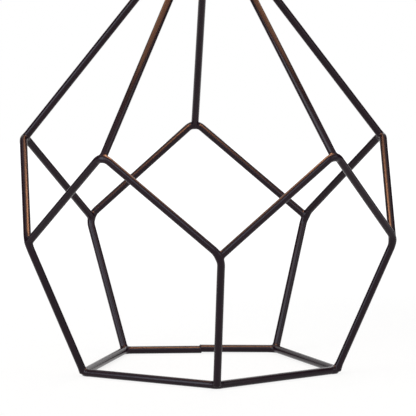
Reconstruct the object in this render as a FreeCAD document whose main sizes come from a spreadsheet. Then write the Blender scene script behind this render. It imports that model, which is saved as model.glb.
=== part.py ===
# Table lamp: an open five-sided wire base under a turn-knob socket, a harp and a tapered drum shade.
# Millimetres, +Z up. The origin is on the table under the lamp's axis, and -Y is the lamp's front.
# Each piece is a separate solid, as the lamp comes apart on a bench.
import FreeCAD
import Part
import Sketcher

import math
import os

Vector = FreeCAD.Vector
UP = Vector(0, 0, 1)

# Driving dimensions in millimetres. What fits another piece is worked out from that piece below.
SIZES = {
    # wire base, with heights above the table
    "wire_diameter": 5.2,             # a 5 mm rod with its paint
    "ring_radius": 89.5,              # foot ring, axis to the corner of its centre line
    "lower_corner_radius": 129.0,     # where a bent wire turns down into its leg
    "lower_corner_height": 92.5,
    "upper_corner_radius": 129.5,     # where a bent wire turns back, under a top rod
    "upper_corner_height": 156.5,
    "apex_height": 311.5,             # where the top rods' centre lines would meet
    "upper_bend_radius": 7.5,
    "lower_bend_radius": 12.0,
    "ring_bend_radius": 5.0,
    "weld_depth": 1.0,                # how far a rod end runs into its neighbour before it is coped
    # collar, lamp pipe and the stack on it
    "pipe_diameter": 10.0,
    "pipe_bore": 6.6,
    "pipe_clearance": 0.1,
    "pipe_tail": 3.0,                 # pipe below its nut
    "collar_wall": 3.9,
    "collar_height": 17.0,
    "collar_drop": 5.0,               # collar's top below the apex
    "collar_chamfer": 0.8,
    "washer_width": 4.9,
    "washer_thickness": 1.2,
    "nut_wall": 1.9,                  # at the flats
    "nut_thickness": 4.0,
    "check_ring_overhang": 4.4,       # beyond the neck's flange
    "check_ring_edge": 1.6,           # radius of the lower edge
    "check_ring_land": 0.9,
    "check_ring_cove": 2.5,
    "neck_gap": 1.9,                  # pipe hole to the neck's inner wall
    "neck_wall": 2.0,
    "neck_height": 22.0,
    "neck_lip": 1.6,                  # how far the end flanges stand out
    # cord outlet in the back of the neck
    "cord_bore": 6.4,
    "pipe_outlet_ease": 0.5,          # pipe's cross hole beyond the bushing's bore
    "bushing_wall": 0.9,
    "bushing_lip": 1.5,               # how far the flange stands out
    "bushing_flange_thickness": 1.8,
    "bushing_clearance": 0.1,
    "bushing_end_gap": 0.4,
    "spot_face_depth": 1.2,
    # saddle that holds the harp
    "saddle_thickness": 1.5,
    "saddle_width": 12.0,
    "saddle_flat": 17.0,              # half length of the flat middle
    "saddle_rise": 13.0,              # rise, and reach, of each sloped arm
    "saddle_shoulder_lift": 1.0,      # full-width part of each upright tab
    "saddle_tab_width": 5.0,
    "saddle_tab_height": 10.0,        # narrow part of each tab
    # harp, its two locking sleeves and the stud on top
    "harp_wire": 3.2,
    "harp_leg_gap": 0.2,              # leg to the tab
    "harp_foot_lift": 0.4,            # leg's foot over the tab's shoulder
    "harp_leg_height": 40.0,          # straight leg, from the shoulder to its corner
    "harp_flare_height": 40.0,        # from the leg's corner to where the bow is widest
    "harp_half_width": 57.0,
    "harp_bend_radius": 32.0,
    "harp_top_flat": 13.0,            # half of the straight run at the top
    "bulb_headroom": 25.9,            # bulb's top to the bow
    "sleeve_height": 14.0,
    "sleeve_wall": 1.0,
    "sleeve_taper": 0.5,
    "sleeve_taper_height": 4.0,
    "sleeve_clearance": 0.4,
    "stud_boss_radius": 6.0,
    "stud_boss_height": 7.6,
    "stud_boss_web": 1.0,             # boss under the bow
    "stud_boss_chamfer": 0.8,
    "stud_diameter": 6.2,
    "stud_length": 14.0,
    "stud_clearance": 0.15,
    # finial that clamps the shade on the stud
    "finial_flange": 4.25,            # beyond the finial's hole
    "finial_foot_land": 1.75,
    "finial_foot_cove": 3.25,
    "finial_waist_wall": 1.35,
    "finial_bead_height": 4.0,
    "finial_ball_height": 13.0,
    "finial_tip_radius": 2.2,
    "finial_tip_land": 1.6,
    "finial_tip_height": 2.4,
    "finial_tip_flat": 0.5,
    "finial_hole_gap": 0.5,           # stud's end to the end of the hole
    # turn-knob socket, from the bulb's cap outwards and from the socket cap's underside up
    "screw_shell_gap": 0.8,
    "screw_shell_wall": 0.4,
    "screw_shell_height": 25.0,
    "screw_shell_eye": 6.0,           # hole round the centre contact
    "liner_gap": 0.9,
    "liner_wall": 0.8,
    "liner_stand": 2.5,               # liner above the shell
    "shell_gap": 0.2,
    "shell_wall": 0.6,
    "shell_seat": 0.8,                # shell's lower edge over the top of the cap's dome
    "shell_bead": 2.4,
    "shell_margin": 1.0,              # shell above the screw shell
    "cap_gap": 0.3,
    "cap_wall": 0.8,
    "cap_hub_wall": 2.9,
    "cap_hub_height": 5.4,
    "cap_skirt": 6.0,                 # straight wall above the dome
    "body_gap": 0.3,
    "body_lift": 0.4,                 # body and liner over the shell's lower edge
    "body_height": 15.8,
    "contact_half_length": 4.6,
    "contact_width": 5.0,
    "contact_thickness": 0.5,
    "contact_height": 4.0,            # bulb's seat over the body
    "contact_tip": 2.0,               # end of the tongue beyond the lamp's axis
    # switch shaft and knob
    "switch_rise": 10.3,              # over the body's underside
    "shaft_diameter": 3.0,
    "shaft_clearance": 0.06,
    "shaft_inner_end": 5.0,           # shaft's inner end from the lamp's axis
    "shaft_end_gap": 0.3,
    "shaft_hole_gap": 1.0,
    "knob_gap": 1.6,                  # knob clear of the cap
    "knob_length": 15.0,
    "knob_stem_radius": 4.4,
    "knob_stem_length": 2.5,
    "knob_flare": 1.0,                # how far the grip stands out of the stem
    "knob_crown": 1.2,                # rounded edge of the knob's end
    "knob_grip_depth": 10.0,          # shaft in the knob
    "knob_flute_radius": 1.1,
    "knob_flute_depth": 0.6,
    # bulb, from its centre contact up
    "bulb_length": 108.0,
    "bulb_radius": 30.0,
    "bulb_glass_wall": 0.7,
    "bulb_neck_gap": 0.9,             # neck of the glass inside the cap
    "bulb_neck_sunk": 6.0,            # glass inside the cap
    "bulb_neck_rise": 1.0,            # straight neck above the cap
    "bulb_cap_radius": 12.8,
    "bulb_cap_wall": 0.5,
    "bulb_cap_taper": 1.4,            # height of the cap's conical lower end
    "bulb_cap_height": 21.0,
    "bulb_insulator_radius": 8.0,
    "bulb_insulator_height": 3.4,
    "bulb_contact_radius": 4.6,
    "bulb_contact_height": 1.6,
    "bulb_contact_flat": 1.5,
    "bulb_stem_radius": 4.0,
    "bulb_stem_flare": 10.0,
    "bulb_stem_height": 38.0,
    "filament_rise": 20.0,            # filament over the stem
    "filament_half_width": 14.0,
    "filament_lead_gap": 2.5,         # lead wire from the bulb's axis
    "filament_wire": 0.8,
    "filament_bend": 2.0,
    # shade
    "shade_height": 229.0,
    "shade_bottom_radius": 165.0,
    "shade_top_radius": 140.0,
    "shade_wall": 1.0,
    "shade_wire": 3.2,
    "shade_wire_gap": 0.1,
    "shade_recess": 13.0,             # spider hub's middle below the top ring's centre line
    "trim_width": 11.0,
    "trim_thickness": 0.5,
    "hub_radius": 13.0,
    "hub_thickness": 4.0,
    "hub_clearance": 0.5,
    "arm_rise_reach": 19.0,           # how far inside the top ring an arm turns up
    "arm_bend_radius": 30.0,
}

# Counts and shape angles
SIDES = 5
FIRST_UPPER_ANGLE = 90.0              # an upper corner stands at the back
FIRST_LOWER_ANGLE = 54.0              # so a lower corner stands at the front
ARMS = 3
FIRST_ARM_ANGLE = 90.0
KNOB_FLUTES = 14
QUARTER = 90.0
CHECK_RING_COVE_SPAN = 70.0
FINIAL_FOOT_SPAN = 65.0
FINIAL_BEAD_SPAN = 120.0
FINIAL_BALL_SPAN = 150.0
FINIAL_TIP_COVE_SPAN = 60.0
FINIAL_TIP_SPAN = 75.0
KNOB_CROWN_SPAN = 80.0
BULB_CONTACT_SPAN = 45.0
BULB_STEM_SPAN = 60.0
BULB_JOIN_ANGLE = 35.0                # below the equator, where the bulb's globe meets its neck
BULB_NECK_SPAN = 27.0

doc = FreeCAD.newDocument("table_lamp")
sheet = doc.addObject("Spreadsheet::Sheet", "Sizes")
for row, (alias, number) in enumerate(SIZES.items(), start=1):
    sheet.set(f"A{row}", alias)
    sheet.set(f"B{row}", str(number))
    sheet.setAlias(f"B{row}", alias)
doc.recompute()
sub_parts = []


class Size:
    """A length from the sheet, or worked out from several, with the expression that says how."""

    def __init__(self, value, text):
        self.value = float(value)
        self.text = text

    def __add__(self, other):
        other = as_size(other)
        return Size(self.value + other.value, f"({self.text} + {other.text})")

    def __sub__(self, other):
        other = as_size(other)
        return Size(self.value - other.value, f"({self.text} - {other.text})")

    def __mul__(self, other):
        other = as_size(other)
        return Size(self.value * other.value, f"({self.text} * {other.text})")

    def __truediv__(self, other):
        other = as_size(other)
        return Size(self.value / other.value, f"({self.text} / {other.text})")

    def __neg__(self):
        return Size(-self.value, f"(0 - {self.text})")


def as_size(number):
    """A plain number as a Size, so that the two mix freely."""
    return number if isinstance(number, Size) else Size(number, repr(float(number)))


def size(alias):
    """The sheet's cell of that name."""
    return Size(sheet.get(alias), f"Sizes.{alias}")


def diagonal(across, up):
    """Length of the diagonal over two sides at a right angle."""
    return Size(math.hypot(across.value, up.value), f"sqrt({across.text} ^ 2 + {up.text} ^ 2)")


ZERO = as_size(0)

# Building blocks


def keep(thing, label):
    """Names a finished sub-part and puts it on the list of pieces to write."""
    thing.Label = label
    sub_parts.append(thing)
    return thing


def sketch_on(body, role, name, offset=None):
    """A sketch on one of the body's own origin planes, moved along the plane's normal by offset."""
    sketch = body.newObject("Sketcher::SketchObject", name)
    plane = next(feature for feature in body.Origin.OriginFeatures if feature.Role == role)
    sketch.AttachmentSupport = [(plane, "")]
    sketch.MapMode = "FlatFace"
    if offset is not None:
        sketch.setExpression("AttachmentOffset.Base.z", offset.text)
    return sketch


def pin_point(sketch, curve, end, across, up):
    """Holds one point of a curve at a place that the sheet drives, or on the sketch's own axis."""
    for kind, place, axis in (("DistanceX", across, -2), ("DistanceY", up, -1)):
        if place.text == ZERO.text:
            sketch.addConstraint(Sketcher.Constraint("PointOnObject", curve, end, axis))
        else:
            index = sketch.addConstraint(Sketcher.Constraint(kind, -1, 1, curve, end, place.value))
            sketch.setExpression(f"Constraints[{index}]", place.text)


def arc_between(start, end, span):
    """Arc from start to end that turns left by span degrees, or right where span is negative."""
    half = math.radians(abs(span)) / 2
    chord = end - start
    side = Vector(-chord.y, chord.x, 0).normalize() * (1 if span > 0 else -1)
    radius = chord.Length / 2 / math.sin(half)
    centre = (start + end) / 2 + side * radius * math.cos(half)
    first = (start if span > 0 else end) - centre
    angle = math.atan2(first.y, first.x)
    return Part.ArcOfCircle(Part.Circle(centre, UP, radius), angle, angle + 2 * half)


def draw_outline(sketch, corners):
    """Closed outline through (across, up) corners. A third value bends the side that leaves the corner."""
    corners = [(as_size(c[0]), as_size(c[1]), c[2] if len(c) > 2 else 0) for c in corners]
    points = [Vector(across.value, up.value, 0) for across, up, _ in corners]
    ends = []
    for i, (_, _, span) in enumerate(corners):
        start, end = points[i], points[(i + 1) % len(points)]
        if span == 0:
            curve = sketch.addGeometry(Part.LineSegment(start, end), False)
        else:
            curve = sketch.addGeometry(arc_between(start, end, span), False)
            sketch.addConstraint(Sketcher.Constraint("Angle", curve, math.radians(abs(span))))
        ends.append((curve, 1, 2) if span >= 0 else (curve, 2, 1))
    for i, (curve, first, _) in enumerate(ends):
        before, _, last = ends[i - 1]
        sketch.addConstraint(Sketcher.Constraint("Coincident", before, last, curve, first))
        pin_point(sketch, curve, first, corners[i][0], corners[i][1])


def draw_circle(sketch, across, up, radius):
    """Circle whose centre and radius the sheet drives."""
    circle = Part.Circle(Vector(across.value, up.value, 0), UP, radius.value)
    curve = sketch.addGeometry(circle, False)
    pin_point(sketch, curve, 3, across, up)
    index = sketch.addConstraint(Sketcher.Constraint("Radius", curve, radius.value))
    sketch.setExpression(f"Constraints[{index}]", radius.text)


def turned(name, corners):
    """A body turned round its own Z axis from an outline of (radius, height) corners."""
    body = doc.addObject("PartDesign::Body", name)
    outline = sketch_on(body, "XZ_Plane", f"{name}_outline")
    draw_outline(outline, corners)
    doc.recompute()
    turn = body.newObject("PartDesign::Revolution", f"{name}_turn")
    turn.Profile = outline
    turn.ReferenceAxis = (outline, ["V_Axis"])
    turn.Angle = 360
    doc.recompute()
    return body


def folded_strip(name, corners, width):
    """A body of sheet metal, from an outline seen from the front and a width to front and back."""
    body = doc.addObject("PartDesign::Body", name)
    outline = sketch_on(body, "XZ_Plane", f"{name}_outline")
    draw_outline(outline, corners)
    doc.recompute()
    strip = body.newObject("PartDesign::Pad", f"{name}_strip")
    strip.Profile = outline
    strip.Midplane = True
    strip.setExpression("Length", width.text)
    doc.recompute()
    return body


def pocket(body, sketch, length, along_normal=False, both_ways=False):
    """Cuts the sketch into the body, and makes sure that it cut."""
    before = body.Shape.Volume
    cut_away = body.newObject("PartDesign::Pocket", f"{sketch.Name}_cut")
    cut_away.Profile = sketch
    cut_away.setExpression("Length", length.text)
    cut_away.Reversed = along_normal
    cut_away.Midplane = both_ways
    doc.recompute()
    if body.Shape.Volume >= before:
        raise RuntimeError(f"{sketch.Name} cuts nothing")
    return cut_away


def stand(body, turn, across=ZERO, back=ZERO, up=ZERO):
    """Places a body that is modelled round its own axis."""
    body.Placement = FreeCAD.Placement(Vector(), turn)
    for axis, place in (("x", across), ("y", back), ("z", up)):
        body.setExpression(f"Placement.Base.{axis}", place.text)
    doc.recompute()
    return body


def polar(radius, degrees, height):
    """A point at that distance and angle round the lamp's axis."""
    angle = math.radians(degrees)
    return Vector(radius.value * math.cos(angle), radius.value * math.sin(angle), height.value)


def bend_middle(before, corner, after, radius):
    """Where the middle of the bend lies that rounds a corner."""
    towards_before = (before - corner).normalize()
    towards_after = (after - corner).normalize()
    half = towards_before.getAngle(towards_after) / 2
    return corner + (towards_before + towards_after).normalize() * radius * (1 / math.sin(half) - 1)


def bent_path(points, radii):
    """Straight runs joined by tangent arcs, one radius for each point between the ends."""
    edges = []
    start = points[0]
    for before, corner, after, radius in zip(points, points[1:], points[2:], radii):
        towards_before = (before - corner).normalize()
        towards_after = (after - corner).normalize()
        setback = radius / math.tan(towards_before.getAngle(towards_after) / 2)
        first = corner + towards_before * setback
        last = corner + towards_after * setback
        edges.append(Part.LineSegment(start, first).toShape())
        edges.append(Part.Arc(first, bend_middle(before, corner, after, radius), last).toShape())
        start = last
    edges.append(Part.LineSegment(start, points[-1]).toShape())
    return Part.Wire(edges)


def rod_along(name, path, radius, seam):
    """A round rod bent along a path, with its seam line on the side where no other rod meets it."""
    spine = doc.addObject("Part::Feature", f"{name}_path")
    spine.Shape = path
    first = path.OrderedEdges[0]
    section = doc.addObject("Part::Circle", f"{name}_section")
    section.setExpression("Radius", radius.text)
    along = first.tangentAt(first.FirstParameter)
    facing = FreeCAD.Rotation(seam, Vector(), along, "ZXY")
    section.Placement = FreeCAD.Placement(first.firstVertex().Point, facing)
    rod = doc.addObject("Part::Sweep", name)
    rod.Sections = [section]
    rod.Spine = (spine, [f"Edge{i + 1}" for i in range(len(path.Edges))])
    rod.Solid = True
    rod.Transition = "Transformed"
    doc.recompute()
    return rod


def straight_rod(name, start, end, radius):
    """A straight round rod between two points."""
    rod = doc.addObject("Part::Cylinder", name)
    rod.setExpression("Radius", radius.text)
    rod.Height = (end - start).Length
    rod.Placement = FreeCAD.Placement(start, FreeCAD.Rotation(UP, end - start))
    doc.recompute()
    return rod


def wire_hoop(name, radius, wire, height):
    """A closed hoop of round wire round the lamp's axis."""
    hoop = doc.addObject("Part::Torus", name)
    hoop.setExpression("Radius1", radius.text)
    hoop.setExpression("Radius2", wire.text)
    hoop.setExpression("Placement.Base.z", height.text)
    doc.recompute()
    return hoop


def coped(name, piece, *neighbours):
    """The piece cut to sit against its neighbours."""
    for count, neighbour in enumerate(neighbours, start=1):
        fitted = doc.addObject("Part::Cut", f"{name}_cope_{count}")
        fitted.Base = piece
        fitted.Tool = neighbour
        doc.recompute()
        piece = fitted
    return piece


def short_of(point, towards, distance):
    """The point moved back along the line that arrives from towards."""
    return point + (towards - point).normalize() * distance


# Fits and heights that pieces share, from the pipe up to the shade

wire_radius = size("wire_diameter") / 2
weld_setback = wire_radius - size("weld_depth")
pipe_radius = size("pipe_diameter") / 2
pipe_hole = pipe_radius + size("pipe_clearance")
collar_radius = pipe_hole + size("collar_wall")
collar_top = size("apex_height") - size("collar_drop")
collar_bottom = collar_top - size("collar_height")
washer_bottom = collar_bottom - size("washer_thickness")
nut_bottom = washer_bottom - size("nut_thickness")

neck_inner = pipe_hole + size("neck_gap")
neck_outer = neck_inner + size("neck_wall")
neck_flange = neck_outer + size("neck_lip")
neck_bottom = collar_top + size("check_ring_edge") + size("check_ring_land") + size("check_ring_cove")
neck_top = neck_bottom + size("neck_height")
outlet_height = neck_bottom + size("neck_height") / 2
cord_radius = size("cord_bore") / 2
bushing_radius = cord_radius + size("bushing_wall")
bushing_flange = bushing_radius + size("bushing_lip")
bushing_seat = neck_outer - size("spot_face_depth")

screw_shell_inner = size("bulb_cap_radius") + size("screw_shell_gap")
screw_shell_outer = screw_shell_inner + size("screw_shell_wall")
liner_inner = screw_shell_outer + size("liner_gap")
liner_outer = liner_inner + size("liner_wall")
shell_inner = liner_outer + size("shell_gap")
shell_outer = shell_inner + size("shell_wall")
cap_inner = shell_outer + size("cap_gap")
cap_outer = cap_inner + size("cap_wall")
cap_hub = pipe_hole + size("cap_hub_wall")
body_radius = liner_inner - size("body_gap")

cap_bottom = neck_top + size("saddle_thickness")
dome_bottom = cap_bottom + size("cap_hub_height")
dome_top = dome_bottom + cap_outer - cap_hub
shell_bottom = dome_top + size("shell_seat")
body_bottom = shell_bottom + size("body_lift")
body_top = body_bottom + size("body_height")
shell_top = body_top + size("screw_shell_height") + size("shell_margin")
switch_height = body_bottom + size("switch_rise")
shaft_radius = size("shaft_diameter") / 2
knob_back = cap_outer + size("knob_gap")

bulb_seat = body_top + size("contact_height")
bulb_top = bulb_seat + size("bulb_length")
bulb_cap_bottom = bulb_seat + size("bulb_contact_height") + size("bulb_insulator_height")
bulb_cap_top = bulb_cap_bottom + size("bulb_cap_height")
bulb_cap_inner = size("bulb_cap_radius") - size("bulb_cap_wall")
bulb_neck = bulb_cap_inner - size("bulb_neck_gap")
bulb_neck_bottom = bulb_cap_top - size("bulb_neck_sunk")

saddle_reach = size("saddle_flat") + size("saddle_rise")
saddle_ease = size("saddle_thickness") * math.tan(math.radians(QUARTER / 4))
shoulder_height = neck_top + size("saddle_rise") + saddle_ease + size("saddle_shoulder_lift")
tab_top = shoulder_height + size("saddle_tab_height")
harp_radius = size("harp_wire") / 2
leg_across = saddle_reach + size("harp_leg_gap") + harp_radius
leg_pack = size("saddle_thickness") + size("harp_leg_gap") + size("harp_wire")
sleeve_across = saddle_reach - size("saddle_thickness") + leg_pack / 2
sleeve_inner = diagonal(leg_pack / 2, size("saddle_tab_width") / 2) + size("sleeve_clearance")
bow_height = bulb_top + size("bulb_headroom") + harp_radius
boss_bottom = bow_height - harp_radius - size("stud_boss_web")
seat_height = boss_bottom + size("stud_boss_height")
stud_radius = size("stud_diameter") / 2
stud_top = seat_height + size("stud_length")
hub_top = seat_height + size("hub_thickness")
hub_middle = seat_height + size("hub_thickness") / 2

hoop_wire = size("shade_wire") / 2
hoop_gap = hoop_wire + size("shade_wire_gap")
top_hoop_height = hub_middle + size("shade_recess")
shade_top = top_hoop_height + hoop_gap
shade_bottom = shade_top - size("shade_height")
shade_slope = (size("shade_bottom_radius") - size("shade_top_radius")) / size("shade_height")
shade_slant = diagonal(shade_slope, as_size(1))


def shade_radius(drop):
    """Outside of the shade's panel at a distance below its top edge."""
    return size("shade_top_radius") + drop * shade_slope


def hoop_radius(drop):
    """Centre line of a wire hoop that lies inside the panel, at a distance below its top edge."""
    return shade_radius(drop) - size("shade_wall") - hoop_gap * shade_slant


# Wire base: a foot ring, five wires with two bends each, and five straight top rods


def corners_round(radius, first_angle, height):
    """The five corners at one height of the base."""
    return [polar(radius, first_angle + 360 / SIDES * k, height) for k in range(SIDES)]


upper_corners = corners_round(size("upper_corner_radius"), FIRST_UPPER_ANGLE, size("upper_corner_height"))
lower_corners = corners_round(size("lower_corner_radius"), FIRST_LOWER_ANGLE, size("lower_corner_height"))
ring_corners = corners_round(size("ring_radius"), FIRST_LOWER_ANGLE, wire_radius)
upper_bend = size("upper_bend_radius").value
lower_bend = size("lower_bend_radius").value


def foot_ring():
    """Closed ring of rod, bent at five corners, that the lamp stands on."""
    seam = (ring_corners[0] + ring_corners[1]) / 2
    stops = [seam, *ring_corners[1:], ring_corners[0], seam]
    path = bent_path(stops, [size("ring_bend_radius").value] * SIDES)
    return rod_along("base_ring", path, wire_radius, seam=-UP)


def bent_wire(k):
    """Wire that leaves one lower corner, turns over an upper corner, and turns down into the next leg."""
    after = (k + 1) % SIDES
    neighbour = bend_middle(upper_corners[k - 1], lower_corners[k], ring_corners[k], lower_bend)
    start = short_of(neighbour, upper_corners[k], weld_setback.value)
    foot = short_of(ring_corners[after], lower_corners[after], weld_setback.value)
    path = bent_path([start, upper_corners[k], lower_corners[after], foot], [upper_bend, lower_bend])
    outwards = Vector(upper_corners[k].x, upper_corners[k].y, 0)
    return rod_along(f"bent_wire_{k + 1}", path, wire_radius, seam=outwards)


def weld_collar():
    """Turned collar that the top rods are welded round."""
    chamfer = size("collar_chamfer")
    return turned("collar", [
        (pipe_hole, collar_bottom),
        (collar_radius - chamfer, collar_bottom),
        (collar_radius, collar_bottom + chamfer),
        (collar_radius, collar_top - chamfer),
        (collar_radius - chamfer, collar_top),
        (pipe_hole, collar_top),
    ])


def collar_seat():
    """The room that the collar takes up, bore included, which no rod may enter."""
    seat = doc.addObject("Part::Cylinder", "collar_seat")
    seat.setExpression("Radius", collar_radius.text)
    seat.setExpression("Height", size("collar_height").text)
    seat.setExpression("Placement.Base.z", collar_bottom.text)
    return seat


def top_rod(k, wire, seat):
    """Straight rod from the outside of an upper bend to the collar's seat."""
    bend = bend_middle(lower_corners[k], upper_corners[k], lower_corners[(k + 1) % SIDES], upper_bend)
    apex = Vector(0, 0, size("apex_height").value)
    end_radius = (pipe_hole.value + collar_radius.value) / 2
    end = bend + (apex - bend) * (1 - end_radius / math.hypot(bend.x, bend.y))
    rod = straight_rod(f"rod_{k + 1}", short_of(bend, apex, weld_setback.value), end, wire_radius)
    return coped(f"top_rod_{k + 1}", rod, wire, seat)


def wire_base():
    """Ring, collar, bent wires and top rods, each coped to what it is welded to."""
    ring = keep(foot_ring(), "base_ring")
    keep(weld_collar(), "collar")
    seat = collar_seat()
    wires = [bent_wire(k) for k in range(SIDES)]
    for k, wire in enumerate(wires):
        keep(coped(f"frame_wire_{k + 1}", wire, wires[k - 1], ring), f"frame_wire_{k + 1}")
        keep(top_rod(k, wire, seat), f"top_rod_{k + 1}")


# Stack on the lamp pipe


def lamp_pipe():
    """Hollow pipe through the stack, with a cross hole that leads a cord out to the back."""
    bore = size("pipe_bore") / 2
    bottom = nut_bottom - size("pipe_tail")
    pipe = turned("lamp_pipe", [
        (bore, bottom),
        (pipe_radius, bottom),
        (pipe_radius, dome_bottom),
        (bore, dome_bottom),
    ])
    outlet = sketch_on(pipe, "XZ_Plane", "pipe_outlet")
    draw_circle(outlet, ZERO, outlet_height, cord_radius + size("pipe_outlet_ease"))
    pocket(pipe, outlet, size("pipe_diameter"))
    keep(pipe, "lamp_pipe")


def pipe_fasteners():
    """Washer and hexagon nut that pull the stack down on the collar from below."""
    rim = pipe_hole + size("washer_width")
    keep(turned("pipe_washer", [
        (pipe_hole, washer_bottom),
        (rim, washer_bottom),
        (rim, collar_bottom),
        (pipe_hole, collar_bottom),
    ]), "pipe_washer")
    blank = doc.addObject("Part::Prism", "nut_blank")
    blank.Polygon = 6
    corner_over_flat = 2 / math.sqrt(3)
    blank.setExpression("Circumradius", ((pipe_hole + size("nut_wall")) * corner_over_flat).text)
    bore = doc.addObject("Part::Cylinder", "nut_bore")
    bore.setExpression("Radius", pipe_hole.text)
    for piece in (blank, bore):
        piece.setExpression("Height", size("nut_thickness").text)
        piece.setExpression("Placement.Base.z", nut_bottom.text)
    keep(coped("pipe_nut", blank, bore), "pipe_nut")


def check_ring():
    """Moulded ring between the collar and the neck: a round lower edge, a land and a cove."""
    edge = size("check_ring_edge")
    land = size("check_ring_land")
    rim = neck_flange + size("check_ring_overhang")
    keep(turned("check_ring", [
        (pipe_hole, collar_top),
        (rim - edge, collar_top, QUARTER),
        (rim, collar_top + edge),
        (rim, collar_top + edge + land, -CHECK_RING_COVE_SPAN),
        (neck_flange + land, neck_bottom),
        (pipe_hole, neck_bottom),
    ]), "check_ring")


def neck():
    """Hollow turned neck with coved end flanges and the cord's outlet at the back."""
    wall = size("neck_wall")
    cove = size("neck_lip")
    body = turned("neck", [
        (pipe_hole, neck_bottom),
        (neck_flange, neck_bottom),
        (neck_flange, neck_bottom + wall, -QUARTER),
        (neck_outer, neck_bottom + wall + cove),
        (neck_outer, neck_top - wall - cove, -QUARTER),
        (neck_flange, neck_top - wall),
        (neck_flange, neck_top),
        (pipe_hole, neck_top),
        (pipe_hole, neck_top - wall),
        (neck_inner, neck_top - wall),
        (neck_inner, neck_bottom + wall),
        (pipe_hole, neck_bottom + wall),
    ])
    hole = sketch_on(body, "XZ_Plane", "neck_outlet")
    draw_circle(hole, ZERO, outlet_height, bushing_radius + size("bushing_clearance"))
    pocket(body, hole, neck_flange)
    face = sketch_on(body, "XZ_Plane", "neck_spot_face", offset=-bushing_seat)
    draw_circle(face, ZERO, outlet_height, bushing_flange + size("bushing_clearance"))
    pocket(body, face, neck_flange)
    keep(body, "neck")


def cord_bushing():
    """Flanged bushing that lines the cord's outlet, modelled with its axis upright."""
    thick = size("bushing_flange_thickness")
    edge = thick / 2
    inner_end = pipe_radius + size("bushing_end_gap") - bushing_seat
    body = turned("cord_bushing", [
        (cord_radius, inner_end),
        (bushing_radius, inner_end),
        (bushing_radius, 0),
        (bushing_flange, 0),
        (bushing_flange, thick - edge, QUARTER),
        (bushing_flange - edge, thick),
        (cord_radius, thick),
    ])
    towards_back = FreeCAD.Rotation(Vector(1, 0, 0), -90)
    keep(stand(body, towards_back, back=bushing_seat, up=outlet_height), "cord_bushing")


# Harp: a sprung wire bow in a saddle, locked by two sliding sleeves


def harp_saddle():
    """Pressed strip under the socket, with an upright tab for each leg of the harp."""
    thick = size("saddle_thickness")
    flat = size("saddle_flat")
    slope_top = neck_top + size("saddle_rise")
    right = [
        (flat, neck_top),
        (saddle_reach, slope_top),
        (saddle_reach, tab_top),
        (saddle_reach - thick, tab_top),
        (saddle_reach - thick, slope_top + saddle_ease),
        (flat - saddle_ease, cap_bottom),
    ]
    left = [(-across, up) for across, up in reversed(right)]
    body = folded_strip("harp_saddle", right + left, size("saddle_width"))
    hole = sketch_on(body, "XY_Plane", "saddle_pipe_hole", offset=cap_bottom)
    draw_circle(hole, ZERO, ZERO, pipe_hole)
    pocket(body, hole, thick)
    half_tab = size("saddle_tab_width") / 2
    edge = size("saddle_width")
    past_both_tabs = saddle_reach * 2 + thick
    for name, side in (("saddle_front_notch", -1), ("saddle_back_notch", 1)):
        notch = sketch_on(body, "YZ_Plane", name)
        draw_outline(notch, [
            (half_tab * side, shoulder_height),
            (edge * side, shoulder_height),
            (edge * side, tab_top + thick),
            (half_tab * side, tab_top + thick),
        ])
        pocket(body, notch, past_both_tabs, both_ways=True)
    keep(body, "harp_saddle")


def harp_bow_and_stud():
    """Wire bow over the bulb, and the stud that is fixed on its top."""
    leg_corner = shoulder_height + size("harp_leg_height")
    half_width = size("harp_half_width")
    right = [
        (leg_across, shoulder_height + size("harp_foot_lift")),
        (leg_across, leg_corner),
        (half_width, leg_corner + size("harp_flare_height")),
        (half_width, bow_height),
    ]
    stops = [Vector(across.value, 0, up.value) for across, up in right]
    stops += [Vector(-across.value, 0, up.value) for across, up in reversed(right)]
    bend = size("harp_bend_radius").value
    top_bend = (half_width - size("harp_top_flat")).value
    path = bent_path(stops, [bend, bend, top_bend, top_bend, bend, bend])
    bow = keep(rod_along("harp_bow", path, harp_radius, seam=Vector(0, 1, 0)), "harp_bow")
    boss = size("stud_boss_radius")
    chamfer = size("stud_boss_chamfer")
    blank = turned("stud_blank", [
        (0, boss_bottom),
        (boss - chamfer, boss_bottom),
        (boss, boss_bottom + chamfer),
        (boss, seat_height),
        (stud_radius, seat_height),
        (stud_radius, stud_top - chamfer),
        (stud_radius - chamfer, stud_top),
        (0, stud_top),
    ])
    keep(coped("harp_stud", blank, bow), "harp_stud")


def harp_sleeves():
    """Sleeves that drop over a leg and its tab, and rest on the tab's shoulders."""
    outer = sleeve_inner + size("sleeve_wall")
    top = size("sleeve_height")
    for name, side in (("harp_sleeve_left", -1), ("harp_sleeve_right", 1)):
        body = turned(name, [
            (sleeve_inner, 0),
            (outer, 0),
            (outer, top - size("sleeve_taper_height")),
            (outer - size("sleeve_taper"), top),
            (sleeve_inner, top),
        ])
        keep(stand(body, FreeCAD.Rotation(), across=sleeve_across * side, up=shoulder_height), name)


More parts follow.
